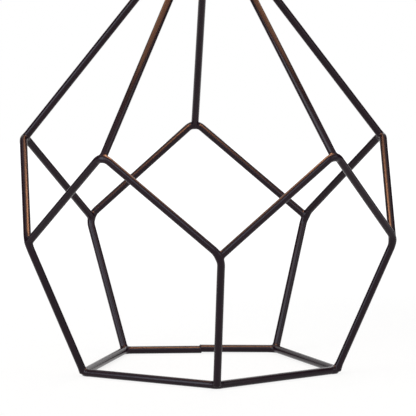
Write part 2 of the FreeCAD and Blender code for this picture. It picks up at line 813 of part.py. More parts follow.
def finial():
    """Turned finial: a coved foot, a bead, a ball and a tip, with a blind hole for the stud."""
    hole = stud_radius + size("stud_clearance")
    hole_top = stud_top + size("finial_hole_gap")
    flange = hole + size("finial_flange")
    waist = hole + size("finial_waist_wall")
    tip = size("finial_tip_radius")
    foot_land = hub_top + size("finial_foot_land")
    bead_bottom = foot_land + size("finial_foot_cove")
    bead_top = bead_bottom + size("finial_bead_height")
    ball_top = bead_top + size("finial_ball_height")
    tip_land = ball_top + size("finial_tip_land")
    keep(turned("finial", [
        (hole, hub_top),
        (flange, hub_top),
        (flange, foot_land, -FINIAL_FOOT_SPAN),
        (waist, bead_bottom, FINIAL_BEAD_SPAN),
        (waist, bead_top, FINIAL_BALL_SPAN),
        (tip, ball_top, -FINIAL_TIP_COVE_SPAN),
        (tip, tip_land, FINIAL_TIP_SPAN),
        (size("finial_tip_flat"), tip_land + size("finial_tip_height")),
        (0, tip_land + size("finial_tip_height")),
        (0, hole_top),
        (hole, hole_top),
    ]), "finial")


# Turn-knob socket


def socket_cap():
    """Domed cap that screws on the pipe and carries the shell."""
    wall = size("cap_wall")
    skirt_top = dome_top + size("cap_skirt")
    keep(turned("socket_cap", [
        (pipe_hole, cap_bottom),
        (cap_hub, cap_bottom),
        (cap_hub, dome_bottom, QUARTER),
        (cap_outer, dome_top),
        (cap_outer, skirt_top),
        (cap_inner, skirt_top),
        (cap_inner, dome_top, -QUARTER),
        (cap_hub, dome_bottom + wall),
        (pipe_hole, dome_bottom + wall),
    ]), "socket_cap")


def shaft_hole(body, name, radius):
    """Cuts the switch shaft's way through the front of a turned shell."""
    hole = sketch_on(body, "XZ_Plane", name)
    draw_circle(hole, ZERO, switch_height, shaft_radius + size("shaft_hole_gap"))
    pocket(body, hole, radius * 2, along_normal=True)


def socket_shell():
    """Outer shell with a rolled bead under its rim."""
    bead = size("shell_bead")
    wall = size("shell_wall")
    body = turned("socket_shell", [
        (shell_inner, shell_bottom),
        (shell_outer, shell_bottom),
        (shell_outer, shell_top - bead * 2, QUARTER),
        (shell_outer, shell_top - bead),
        (shell_outer, shell_top - wall, QUARTER),
        (shell_inner, shell_top),
    ])
    shaft_hole(body, "shell_shaft_hole", shell_outer)
    keep(body, "socket_shell")


def socket_liner():
    """Insulating sleeve between the shell and the live parts."""
    top = shell_top + size("liner_stand")
    body = turned("socket_liner", [
        (liner_inner, body_bottom),
        (liner_outer, body_bottom),
        (liner_outer, top),
        (liner_inner, top),
    ])
    shaft_hole(body, "liner_shaft_hole", liner_outer)
    keep(body, "socket_liner")


def socket_body():
    """Moulded body that holds the switch and carries the screw shell."""
    body = turned("socket_body", [
        (0, body_bottom),
        (body_radius, body_bottom),
        (body_radius, body_top),
        (0, body_top),
    ])
    bearing_end = size("shaft_inner_end") - size("shaft_end_gap")
    bearing = sketch_on(body, "XZ_Plane", "body_shaft_bearing", offset=bearing_end)
    draw_circle(bearing, ZERO, switch_height, shaft_radius + size("shaft_clearance"))
    pocket(body, bearing, body_radius, along_normal=True)
    keep(body, "socket_body")


def screw_shell():
    """Brass cup that the bulb screws into, fixed on the body round the centre contact."""
    eye = size("screw_shell_eye")
    floor = body_top + size("screw_shell_wall")
    top = body_top + size("screw_shell_height")
    keep(turned("screw_shell", [
        (eye, body_top),
        (screw_shell_outer, body_top),
        (screw_shell_outer, top),
        (screw_shell_inner, top),
        (screw_shell_inner, floor),
        (eye, floor),
    ]), "screw_shell")


def center_contact():
    """Sprung brass tongue, folded over its own foot, that meets the bulb's contact."""
    half = size("contact_half_length")
    thick = size("contact_thickness")
    tip = size("contact_tip")
    keep(folded_strip("center_contact", [
        (-half, body_top),
        (half, body_top),
        (half, bulb_seat),
        (-tip, bulb_seat),
        (-tip, bulb_seat - thick),
        (half - thick, bulb_seat - thick),
        (half - thick, body_top + thick),
        (-half, body_top + thick),
    ], size("contact_width")), "center_contact")


def switch_shaft():
    """Round shaft from inside the body to the knob."""
    start = Vector(0, -size("shaft_inner_end").value, switch_height.value)
    end = Vector(0, -(knob_back + size("knob_grip_depth")).value, switch_height.value)
    keep(straight_rod("switch_shaft", start, end, shaft_radius), "switch_shaft")


def switch_knob():
    """Fluted knob with a blind hole for the shaft, modelled with its axis upright."""
    length = size("knob_length")
    stem = size("knob_stem_radius")
    stem_length = size("knob_stem_length")
    grip = stem + size("knob_flare")
    crown = size("knob_crown")
    body = turned("switch_knob", [
        (shaft_radius, 0),
        (stem, 0),
        (stem, stem_length),
        (grip, stem_length + size("knob_flare")),
        (grip, length - crown, KNOB_CROWN_SPAN),
        (grip - crown, length),
        (0, length),
        (0, size("knob_grip_depth")),
        (shaft_radius, size("knob_grip_depth")),
    ])
    groove = sketch_on(body, "XY_Plane", "knob_groove", offset=stem_length)
    groove_axis = grip + size("knob_flute_radius") - size("knob_flute_depth")
    draw_circle(groove, groove_axis, ZERO, size("knob_flute_radius"))
    flute = pocket(body, groove, length, along_normal=True)
    flutes = body.newObject("PartDesign::PolarPattern", "knob_flutes")
    flutes.Originals = [flute]
    flutes.Axis = (groove, ["N_Axis"])
    flutes.Angle = 360
    flutes.Occurrences = KNOB_FLUTES
    body.Tip = flutes
    doc.recompute()
    towards_front = FreeCAD.Rotation(Vector(1, 0, 0), 90)
    keep(stand(body, towards_front, back=-knob_back, up=switch_height), "switch_knob")


# Bulb


def bulb_base():
    """Centre contact, insulator and screw cap of the bulb."""
    contact = size("bulb_contact_radius")
    insulator = size("bulb_insulator_radius")
    wall = size("bulb_cap_wall")
    contact_top = bulb_seat + size("bulb_contact_height")
    keep(turned("bulb_contact", [
        (0, bulb_seat),
        (size("bulb_contact_flat"), bulb_seat, BULB_CONTACT_SPAN),
        (contact, contact_top),
        (0, contact_top),
    ]), "bulb_contact")
    keep(turned("bulb_insulator", [
        (0, contact_top),
        (contact, contact_top),
        (insulator, bulb_cap_bottom),
        (insulator, bulb_cap_bottom + wall),
        (0, bulb_cap_bottom + wall),
    ]), "bulb_insulator")
    taper_top = bulb_cap_bottom + size("bulb_cap_taper")
    keep(turned("bulb_cap", [
        (insulator, bulb_cap_bottom),
        (size("bulb_cap_radius"), taper_top),
        (size("bulb_cap_radius"), bulb_cap_top),
        (bulb_cap_inner, bulb_cap_top),
        (bulb_cap_inner, taper_top + wall),
        (insulator, bulb_cap_bottom + wall),
    ]), "bulb_cap")


def bulb_glass():
    """Hollow glass: a globe that runs down in a smooth curve to the neck in the cap."""
    wall = size("bulb_glass_wall")
    globe = size("bulb_radius")
    inner = globe - wall
    middle = bulb_top - globe
    neck_end = bulb_cap_top + size("bulb_neck_rise")
    cosine = math.cos(math.radians(BULB_JOIN_ANGLE))
    sine = math.sin(math.radians(BULB_JOIN_ANGLE))
    globe_span = QUARTER + BULB_JOIN_ANGLE
    keep(turned("bulb_glass", [
        (bulb_neck - wall, bulb_neck_bottom),
        (bulb_neck, bulb_neck_bottom),
        (bulb_neck, neck_end, -BULB_NECK_SPAN),
        (globe * cosine, middle - globe * sine, globe_span),
        (0, bulb_top),
        (0, bulb_top - wall, -globe_span),
        (inner * cosine, middle - inner * sine, BULB_NECK_SPAN),
        (bulb_neck - wall, neck_end),
    ]), "bulb_glass")


def bulb_inside():
    """Glass stem that closes the neck, and the filament on its two lead wires."""
    stem_radius = size("bulb_stem_radius")
    stem_top = bulb_neck_bottom + size("bulb_stem_height")
    rim = bulb_neck - size("bulb_glass_wall")
    stem = keep(turned("bulb_stem", [
        (0, bulb_neck_bottom),
        (rim, bulb_neck_bottom),
        (rim, bulb_neck_bottom + size("bulb_glass_wall"), -BULB_STEM_SPAN),
        (stem_radius, bulb_neck_bottom + size("bulb_stem_flare")),
        (stem_radius, stem_top),
        (0, stem_top),
    ]), "bulb_stem")
    lead = size("filament_lead_gap").value
    reach = size("filament_half_width").value
    root = (stem_top - size("filament_wire")).value
    height = (stem_top + size("filament_rise")).value
    right = [Vector(reach, 0, height), Vector(lead, 0, root)]
    left = [Vector(-point.x, 0, point.z) for point in reversed(right)]
    path = bent_path(left + right, [size("filament_bend").value] * 2)
    leads = rod_along("filament_leads", path, size("filament_wire") / 2, seam=Vector(0, 1, 0))
    keep(coped("bulb_filament", leads, stem), "bulb_filament")


# Shade: a tapered panel on two wire hoops, carried by a three-armed spider


def shade_panel():
    """Tapered wall of the shade."""
    wall = size("shade_wall")
    keep(turned("shade_panel", [
        (size("shade_bottom_radius") - wall, shade_bottom),
        (size("shade_bottom_radius"), shade_bottom),
        (size("shade_top_radius"), shade_top),
        (size("shade_top_radius") - wall, shade_top),
    ]), "shade_panel")


def edge_trim(label, edge_drop, inwards):
    """Tape round one edge of the panel: along its outside, over the edge and over the hoop."""
    thick = size("trim_thickness")
    end_drop = edge_drop + size("trim_width") * inwards
    edge_height = shade_top - edge_drop
    end_height = shade_top - end_drop
    face_height = edge_height + thick * inwards
    lip = hoop_radius(edge_drop + hoop_gap * inwards)
    keep(turned(label, [
        (shade_radius(end_drop), end_height),
        (shade_radius(end_drop) + thick, end_height),
        (shade_radius(edge_drop) + thick, face_height),
        (lip, face_height),
        (lip, edge_height),
        (shade_radius(edge_drop), edge_height),
    ]), label)


def hoops_and_spider():
    """Two hoops, the hub that sits on the stud, and the arms between the hub and the top hoop."""
    bottom_radius = hoop_radius(size("shade_height") - hoop_gap)
    bottom_hoop = wire_hoop("shade_bottom_ring", bottom_radius, hoop_wire, shade_bottom + hoop_gap)
    keep(bottom_hoop, "shade_bottom_ring")
    top_radius = hoop_radius(hoop_gap)
    top_hoop = keep(wire_hoop("shade_top_ring", top_radius, hoop_wire, top_hoop_height), "shade_top_ring")
    hole = stud_radius + size("hub_clearance")
    hub = keep(turned("spider_hub", [
        (hole, seat_height),
        (size("hub_radius"), seat_height),
        (size("hub_radius"), hub_top),
        (hole, hub_top),
    ]), "spider_hub")
    setback = (hoop_wire - size("weld_depth")).value
    for k in range(ARMS):
        angle = FIRST_ARM_ANGLE + 360 / ARMS * k
        start = polar(size("hub_radius") - size("weld_depth"), angle, hub_middle)
        corner = polar(top_radius - size("arm_rise_reach"), angle, hub_middle)
        end = short_of(polar(top_radius, angle, top_hoop_height), corner, setback)
        path = bent_path([start, corner, end], [size("arm_bend_radius").value])
        arm = rod_along(f"arm_{k + 1}", path, hoop_wire, seam=-UP)
        keep(coped(f"spider_arm_{k + 1}", arm, hub, top_hoop), f"spider_arm_{k + 1}")


def shade():
    """The whole shade."""
    shade_panel()
    hoops_and_spider()
    edge_trim("shade_top_trim", ZERO, 1)
    edge_trim("shade_bottom_trim", size("shade_height"), -1)


for build in (
    wire_base, lamp_pipe, pipe_fasteners, check_ring, neck, cord_bushing,
    harp_saddle, harp_bow_and_stud, harp_sleeves, finial,
    socket_cap, socket_shell, socket_liner, socket_body, screw_shell, center_contact,
    switch_shaft, switch_knob, bulb_base, bulb_glass, bulb_inside, shade,
):
    build()
doc.recompute()

# Check every object, then write each sub-part

failed = [thing.Label for thing in doc.Objects if {"Invalid", "Error"} & set(thing.State)]
broken = [thing.Label for thing in sub_parts if thing.Shape.isNull() or not thing.Shape.isValid()]
if failed or broken:
    raise RuntimeError(f"failed objects {failed}, broken sub-parts {broken}")
os.makedirs("parts", exist_ok=True)
for thing in sub_parts:
    print(f"{thing.Label}: {len(thing.Shape.Solids)} solid(s), {thing.Shape.Volume:.1f} mm3")
    thing.Shape.exportStep(f"parts/{thing.Label}.step")
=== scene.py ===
"""Looks of a table lamp: an open wire base, a turn-knob socket, a harp and a linen drum shade."""
import logging
import math
from dataclasses import dataclass
from enum import Enum
from typing import Any, Callable, ClassVar, Optional, Sequence

import bpy
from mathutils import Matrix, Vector, noise


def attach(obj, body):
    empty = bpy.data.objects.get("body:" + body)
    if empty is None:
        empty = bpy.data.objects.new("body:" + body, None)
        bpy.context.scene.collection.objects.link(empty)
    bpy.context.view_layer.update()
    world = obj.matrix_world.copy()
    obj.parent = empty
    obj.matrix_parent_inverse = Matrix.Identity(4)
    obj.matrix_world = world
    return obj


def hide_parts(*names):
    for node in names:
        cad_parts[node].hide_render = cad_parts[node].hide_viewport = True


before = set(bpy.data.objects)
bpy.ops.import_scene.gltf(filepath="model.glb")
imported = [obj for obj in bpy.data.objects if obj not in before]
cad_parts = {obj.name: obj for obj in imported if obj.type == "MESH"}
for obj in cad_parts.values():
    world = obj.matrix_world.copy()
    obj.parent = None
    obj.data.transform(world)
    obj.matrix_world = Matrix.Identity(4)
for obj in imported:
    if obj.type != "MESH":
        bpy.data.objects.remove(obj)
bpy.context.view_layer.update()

Piece = bpy.types.Object
Socket = bpy.types.NodeSocket
Tree = bpy.types.NodeTree
Colour = tuple[float, float, float]
Point = tuple[float, float, float]
Profile = list[tuple[float, float]]
log = logging.getLogger("table_lamp")

MM = 0.001
UP = Vector((0, 0, 1))
TURN = 2 * math.pi
SIDES = 5
ARMS = 3
TABLE_GAP = 0.05 * MM
SHARP_EDGE = math.radians(50)
WHITE = (1.0, 1.0, 1.0)


class Body(Enum):
    """The bodies that new pieces ride on: the standing lamp and the turning shade."""

    LAMP = "lamp"
    SHADE = "shade"


class Slot(Enum):
    """The record's material slots that new pieces belong to."""

    PAINT = "bronze_paint"
    ZINC = "zinc_steel"
    LINEN = "shade_linen"
    TAPE = "trim_tape"
    WIRE = "shade_wire"


# Shader trees


class Kind(Enum):
    """Kinds of socket on a node group."""

    VALUE = "NodeSocketFloat"
    COLOUR = "NodeSocketColor"


class Blend(Enum):
    """How two colours are mixed."""

    PLAIN = "MIX"
    MULTIPLY = "MULTIPLY"


class NodeBuilder:
    """Adds and links the nodes of one shader tree."""

    def __init__(self, tree: Tree) -> None:
        """Starts on the tree that takes the nodes."""
        self.tree = tree

    def put(self, socket: Socket, value: Any) -> None:
        """Links a socket to an output, or gives it a plain value.

        Args:
            socket: the input to fill.
            value: another node's output, a number, a vector or a colour.
        """
        if isinstance(value, Socket):
            self.tree.links.new(value, socket)
        elif socket.type == "RGBA" and len(value) == 3:
            socket.default_value = (*value, 1.0)
        else:
            socket.default_value = value

    def fill(self, node: bpy.types.Node, inputs: dict[str, Any]) -> None:
        """Fills a node's inputs by their names, which have underscores for spaces."""
        for name, value in inputs.items():
            self.put(node.inputs[name.replace("_", " ")], value)

    def add(
        self, kind: str, settings: Optional[dict] = None, values: Sequence[Any] = (), **inputs: Any
    ) -> bpy.types.Node:
        """Adds one node.

        Args:
            kind: the node's type name.
            settings: properties of the node itself.
            values: what goes into its first inputs, in order.
            inputs: input names, with underscores for spaces, and what goes into them.

        Returns:
            The new node.
        """
        node = self.tree.nodes.new(kind)
        for name, value in (settings or {}).items():
            setattr(node, name, value)
        for socket, value in zip(node.inputs, values):
            self.put(socket, value)
        self.fill(node, inputs)
        return node

    def math(self, operation: str, *values: Any) -> Socket:
        """The result of one Math node."""
        return self.add("ShaderNodeMath", {"operation": operation}, values).outputs[0]

    def times(self, first: Any, second: Any) -> Socket:
        """The product of two numbers."""
        return self.math("MULTIPLY", first, second)

    def plus(self, first: Any, second: Any) -> Socket:
        """The sum of two numbers."""
        return self.math("ADD", first, second)

    def mix(self, factor: Any, first: Any, second: Any, blend: Blend = Blend.PLAIN) -> Socket:
        """Mixes two colours.

        Args:
            factor: share of the second colour.
            first: the colour at 0.
            second: the colour at 1.
            blend: how they are mixed.

        Returns:
            The result's socket.
        """
        node = self.add("ShaderNodeMix", {"data_type": "RGBA", "blend_type": blend.value})
        for index, value in ((0, factor), (6, first), (7, second)):
            self.put(node.inputs[index], value)
        return node.outputs[2]

    def smooth(self, value: Any, low: float, high: float) -> Socket:
        """A smooth step from 0 to 1.

        Args:
            value: the number to step on.
            low: where the step starts.
            high: where it ends.

        Returns:
            The result's socket.
        """
        step = {"interpolation_type": "SMOOTHSTEP"}
        return self.add("ShaderNodeMapRange", step, Value=value, From_Min=low, From_Max=high).outputs[0]

    def noise(self, vector: Any, scale: Any, detail: float = 3.0) -> Socket:
        """Noise between 0 and 1, with its grain per metre and the number of its finer layers."""
        return self.add("ShaderNodeTexNoise", Vector=vector, Scale=scale, Detail=detail).outputs[0]

    def place(self) -> Socket:
        """Where the surface is on the lamp, in metres."""
        return self.add("ShaderNodeTexCoord").outputs["Object"]

    def split(self, vector: Socket) -> dict[str, Socket]:
        """The X, Y and Z of a vector."""
        return dict(self.add("ShaderNodeSeparateXYZ", Vector=vector).outputs.items())


class Group(NodeBuilder):
    """A shader node group with named inputs and outputs."""

    def __init__(self, name: str, inputs: dict[str, Kind], outputs: dict[str, Kind]) -> None:
        """Starts the group.

        Args:
            name: its name.
            inputs: names and kinds of its inputs.
            outputs: names and kinds of its outputs.
        """
        super().__init__(bpy.data.node_groups.new(name, "ShaderNodeTree"))
        for in_out, sockets in (("INPUT", inputs), ("OUTPUT", outputs)):
            for socket, kind in sockets.items():
                self.tree.interface.new_socket(name=socket, in_out=in_out, socket_type=kind.value)
        self.given = self.add("NodeGroupInput").outputs
        self.result = self.add("NodeGroupOutput")

    def give(self, **outputs: Socket) -> Tree:
        """Fills the group's outputs and hands over its tree."""
        self.fill(self.result, outputs)
        return self.tree

    def swing(self, pattern: Socket) -> Socket:
        """The group's roughness, which swings by its spread with a pattern between 0 and 1."""
        swing = self.times(self.math("SUBTRACT", pattern, 0.5), self.given["Spread"])
        return self.plus(self.given["Roughness"], swing)


class Effects:
    """Node groups that several finishes share, each built once."""

    PATCH_STEP = (0.36, 0.68)
    BROAD_SCALE = 0.11
    UPWARD_STEP = (0.25, 1.0)
    RUB_SCALE = 70.0
    RUB_STEP = (0.42, 0.62)
    LINE_STRETCH = (0.04, 0.04, 1.0)
    SLUB_STRETCH = ((1.0, 0.03), (0.03, 1.0))
    SLUB_STEP = (0.36, 0.64)
    THREAD_HEIGHT = 0.25
    SLUB_HEIGHT = 0.8
    SKIN_INPUTS = {"Scale": Kind.VALUE, "Roughness": Kind.VALUE, "Spread": Kind.VALUE}
    SKIN_OUTPUTS = {"Height": Kind.VALUE, "Roughness": Kind.VALUE}

    def __init__(self) -> None:
        """Builds every group."""
        self.tone_drift = self._tone_drift()
        self.satin_film = self._satin_film()
        self.rubbed_tops = self._rubbed_tops()
        self.brushed_lines = self._brushed_lines()
        self.linen_weave = self._linen_weave()
        self.lamp_glow = self._lamp_glow()

    def _tone_drift(self) -> Tree:
        """Colour that drifts in soft patches towards a second tone.

        Returns:
            The node group.
        """
        kinds = {"Color": Kind.COLOUR, "Drift": Kind.COLOUR, "Scale": Kind.VALUE}
        group = Group("tone_drift", kinds, {"Color": Kind.COLOUR})
        patches = group.noise(group.place(), group.given["Scale"], 4.0)
        share = group.smooth(patches, *self.PATCH_STEP)
        return group.give(Color=group.mix(share, group.given["Color"], group.given["Drift"]))

    def _satin_film(self) -> Tree:
        """Fine waviness of a sprayed or moulded skin, with the roughness that goes with it.

        Returns:
            The node group.
        """
        group = Group("satin_film", self.SKIN_INPUTS, self.SKIN_OUTPUTS)
        place = group.place()
        fine = group.noise(place, group.given["Scale"], 2.0)
        broad = group.noise(place, group.times(group.given["Scale"], self.BROAD_SCALE))
        return group.give(Height=fine, Roughness=group.swing(broad))

    def _rubbed_tops(self) -> Tree:
        """A second tone where hands and dusters rub the upper sides.

        Returns:
            The node group.
        """
        kinds = {"Color": Kind.COLOUR, "Rub": Kind.COLOUR, "Amount": Kind.VALUE}
        group = Group("rubbed_tops", kinds, {"Color": Kind.COLOUR})
        normal = group.add("ShaderNodeNewGeometry").outputs["Normal"]
        upward = group.smooth(group.split(normal)["Z"], *self.UPWARD_STEP)
        patches = group.smooth(group.noise(group.place(), self.RUB_SCALE, 4.0), *self.RUB_STEP)
        share = group.times(group.times(upward, patches), group.given["Amount"])
        return group.give(Color=group.mix(share, group.given["Color"], group.given["Rub"]))

    def _brushed_lines(self) -> Tree:
        """Fine lines that turning or brushing leaves round an upright axis.

        Returns:
            The node group.
        """
        group = Group("brushed_lines", self.SKIN_INPUTS, self.SKIN_OUTPUTS)
        drawn = (group.place(), self.LINE_STRETCH)
        stretch = group.add("ShaderNodeVectorMath", {"operation": "MULTIPLY"}, drawn)
        lines = group.noise(stretch.outputs[0], group.given["Scale"])
        return group.give(Height=lines, Roughness=group.swing(lines))

    def _linen_weave(self) -> Tree:
        """Plain weave wrapped round the shade, with the slubs of uneven yarn.

        Returns:
            The node group.
        """
        kinds = {"Pitch": Kind.VALUE, "Slub": Kind.VALUE, "Girth": Kind.VALUE}
        group = Group("linen_weave", kinds, {"Height": Kind.VALUE, "Tone": Kind.VALUE})
        xyz = group.split(group.place())
        turn = group.math("ARCTAN2", xyz["X"], group.times(xyz["Y"], -1.0))
        around = group.times(turn, group.given["Girth"])
        waves = []
        for run in (around, xyz["Z"]):
            turns = group.math("DIVIDE", group.times(run, TURN), group.given["Pitch"])
            waves.append(group.math("SINE", turns))
        slubs = []
        for across, along in self.SLUB_STRETCH:
            yarn = (group.times(around, across), group.times(xyz["Z"], along))
            yarn_place = group.add("ShaderNodeCombineXYZ", None, yarn).outputs[0]
            slubs.append(group.noise(yarn_place, group.given["Slub"], 4.0))
        uneven = group.times(group.plus(*slubs), 0.5)
        threads = group.times(group.plus(group.times(*waves), 1.0), self.THREAD_HEIGHT)
        height = group.plus(threads, group.times(uneven, self.SLUB_HEIGHT))
        return group.give(Height=height, Tone=group.smooth(uneven, *self.SLUB_STEP))

    def _lamp_glow(self) -> Tree:
        """Light that comes through from the bulb, strongest at the bulb's height.

        Returns:
            The node group.
        """
        kinds = {"Near": Kind.COLOUR, "Far": Kind.COLOUR, "Middle": Kind.VALUE, "Reach": Kind.VALUE}
        group = Group("lamp_glow", kinds, {"Color": Kind.COLOUR})
        height = group.split(group.place())["Z"]
        off = group.math("ABSOLUTE", group.math("SUBTRACT", height, group.given["Middle"]))
        share = group.smooth(group.math("DIVIDE", off, group.given["Reach"]), 0.0, 1.0)
        return group.give(Color=group.mix(share, group.given["Near"], group.given["Far"]))


class Surface(NodeBuilder):
    """One material and its shader."""

    def __init__(self, name: str) -> None:
        """Starts a plain material.

        Args:
            name: the material's name.
        """
        self.material = bpy.data.materials.new(name)
        self.material.use_nodes = True
        super().__init__(self.material.node_tree)
        self.shader = self.tree.nodes["Principled BSDF"]

    def effect(self, group: Tree, **inputs: Any) -> dict[str, Socket]:
        """Places one shared effect.

        Args:
            group: the effect's node group.
            inputs: its values by input name.

        Returns:
            Its outputs by name.
        """
        node = self.add("ShaderNodeGroup", {"node_tree": group}, **inputs)
        return dict(node.outputs.items())

    def set(self, **inputs: Any) -> None:
        """Fills inputs of the shader, with underscores for spaces in their names."""
        self.fill(self.shader, inputs)

    def bump(self, height: Socket, distance: float, strength: float) -> None:
        """Feeds the shader's normal from a height.

        Args:
            height: the height between 0 and 1.
            distance: what a height of 1 is, in metres.
            strength: share of it that shows.
        """
        node = self.add("ShaderNodeBump", Height=height, Distance=distance, Strength=strength)
        self.set(Normal=node.outputs[0])


@dataclass(frozen=True)
class CoatFinish:
    """A sprayed or moulded skin."""

    colour: Colour
    drift: Colour
    rub: Colour
    rub_amount: float
    roughness: float
    spread: float
    grain: float
    relief: float
    specular: float = 0.5
    patch: float = 45.0
    bump: float = 0.5

    def dress(self, surface: Surface, shared: Effects) -> None:
        """Fills a material.

        Args:
            surface: the material.
            shared: the shared node groups.
        """
        tone = surface.effect(shared.tone_drift, Color=self.colour, Drift=self.drift, Scale=self.patch)
        rubbed = surface.effect(
            shared.rubbed_tops, Color=tone["Color"], Rub=self.rub, Amount=self.rub_amount
        )
        film = surface.effect(
            shared.satin_film, Scale=self.grain, Roughness=self.roughness, Spread=self.spread
        )
        surface.set(
            Base_Color=rubbed["Color"], Roughness=film["Roughness"], Specular_IOR_Level=self.specular
        )
        surface.bump(film["Height"], self.relief, self.bump)


@dataclass(frozen=True)
class PlateFinish:
    """Bare or plated metal with turned or brushed lines."""

    colour: Colour
    tarnish: Colour
    roughness: float
    spread: float
    lines: float
    relief: float = 0.00002
    patch: float = 120.0
    bump: float = 0.4

    def dress(self, surface: Surface, shared: Effects) -> None:
        """Fills a material.

        Args:
            surface: the material.
            shared: the shared node groups.
        """
        tone = surface.effect(shared.tone_drift, Color=self.colour, Drift=self.tarnish, Scale=self.patch)
        brush = surface.effect(
            shared.brushed_lines, Scale=self.lines, Roughness=self.roughness, Spread=self.spread
        )
        surface.set(Base_Color=tone["Color"], Roughness=brush["Roughness"], Metallic=1.0)
        surface.bump(brush["Height"], self.relief, self.bump)


@dataclass(frozen=True)
class ClothFinish:
    """Woven linen that the bulb shines through."""

    warp: Colour
    slub_tone: Colour
    near_glow: Colour
    far_glow: Colour
    pitch: float = 0.0011
    slub: float = 620.0
    girth: float = 0.1525
    middle: float = 0.442
    reach: float = 0.16
    relief: float = 0.00022
    bump: float = 0.7
    glow_tint: float = 0.6
    roughness: float = 0.9
    specular: float = 0.15
    sheen: float = 0.25

    def dress(self, surface: Surface, shared: Effects) -> None:
        """Fills a material.

        Args:
            surface: the material.
            shared: the shared node groups.
        """
        weave = surface.effect(shared.linen_weave, Pitch=self.pitch, Slub=self.slub, Girth=self.girth)
        glow = surface.effect(
            shared.lamp_glow, Near=self.near_glow, Far=self.far_glow, Middle=self.middle, Reach=self.reach
        )
        colour = surface.mix(weave["Tone"], self.warp, self.slub_tone)
        surface.set(
            Base_Color=colour, Roughness=self.roughness, Specular_IOR_Level=self.specular,
            Sheen_Weight=self.sheen, Emission_Strength=1.0,
            Emission_Color=surface.mix(self.glow_tint, glow["Color"], colour, Blend.MULTIPLY),
        )
        surface.bump(weave["Height"], self.relief, self.bump)


@dataclass(frozen=True)
class GlowFinish:
    """A smooth pale skin that the bulb lights: the shade's lining, or the bulb's own frosted glass."""

    colour: Colour
    drift: Colour
    near_glow: Colour
    far_glow: Colour
    middle: float
    reach: float
    roughness: float
    strength: float
    coat: float
    patch: float = 30.0
    grain: float = 900.0
    spread: float = 0.1
    relief: float = 0.00004
    bump: float = 0.3

    def dress(self, surface: Surface, shared: Effects) -> None:
        """Fills a material.

        Args:
            surface: the material.
            shared: the shared node groups.
        """
        tone = surface.effect(shared.tone_drift, Color=self.colour, Drift=self.drift, Scale=self.patch)
        glow = surface.effect(
            shared.lamp_glow, Near=self.near_glow, Far=self.far_glow, Middle=self.middle, Reach=self.reach
        )
        film = surface.effect(
            shared.satin_film, Scale=self.grain, Roughness=self.roughness, Spread=self.spread
        )
        surface.set(
            Base_Color=tone["Color"], Roughness=film["Roughness"], Coat_Weight=self.coat,
            Emission_Color=glow["Color"], Emission_Strength=self.strength,
        )
        surface.bump(film["Height"], self.relief, self.bump)


@dataclass(frozen=True)
class ClearFinish:
    """Clear glass with faint streaks."""

    colour: Colour
    streak: Colour
    roughness: float
    patch: float = 90.0
    grain: float = 300.0
    spread: float = 0.06
    clearness: float = 0.9

    def dress(self, surface: Surface, shared: Effects) -> None:
        """Fills a material.

        Args:
            surface: the material.
            shared: the shared node groups.
        """
        tone = surface.effect(shared.tone_drift, Color=self.colour, Drift=self.streak, Scale=self.patch)
        film = surface.effect(
            shared.satin_film, Scale=self.grain, Roughness=self.roughness, Spread=self.spread
        )
        surface.set(
            Base_Color=tone["Color"], Roughness=film["Roughness"], Transmission_Weight=self.clearness
        )


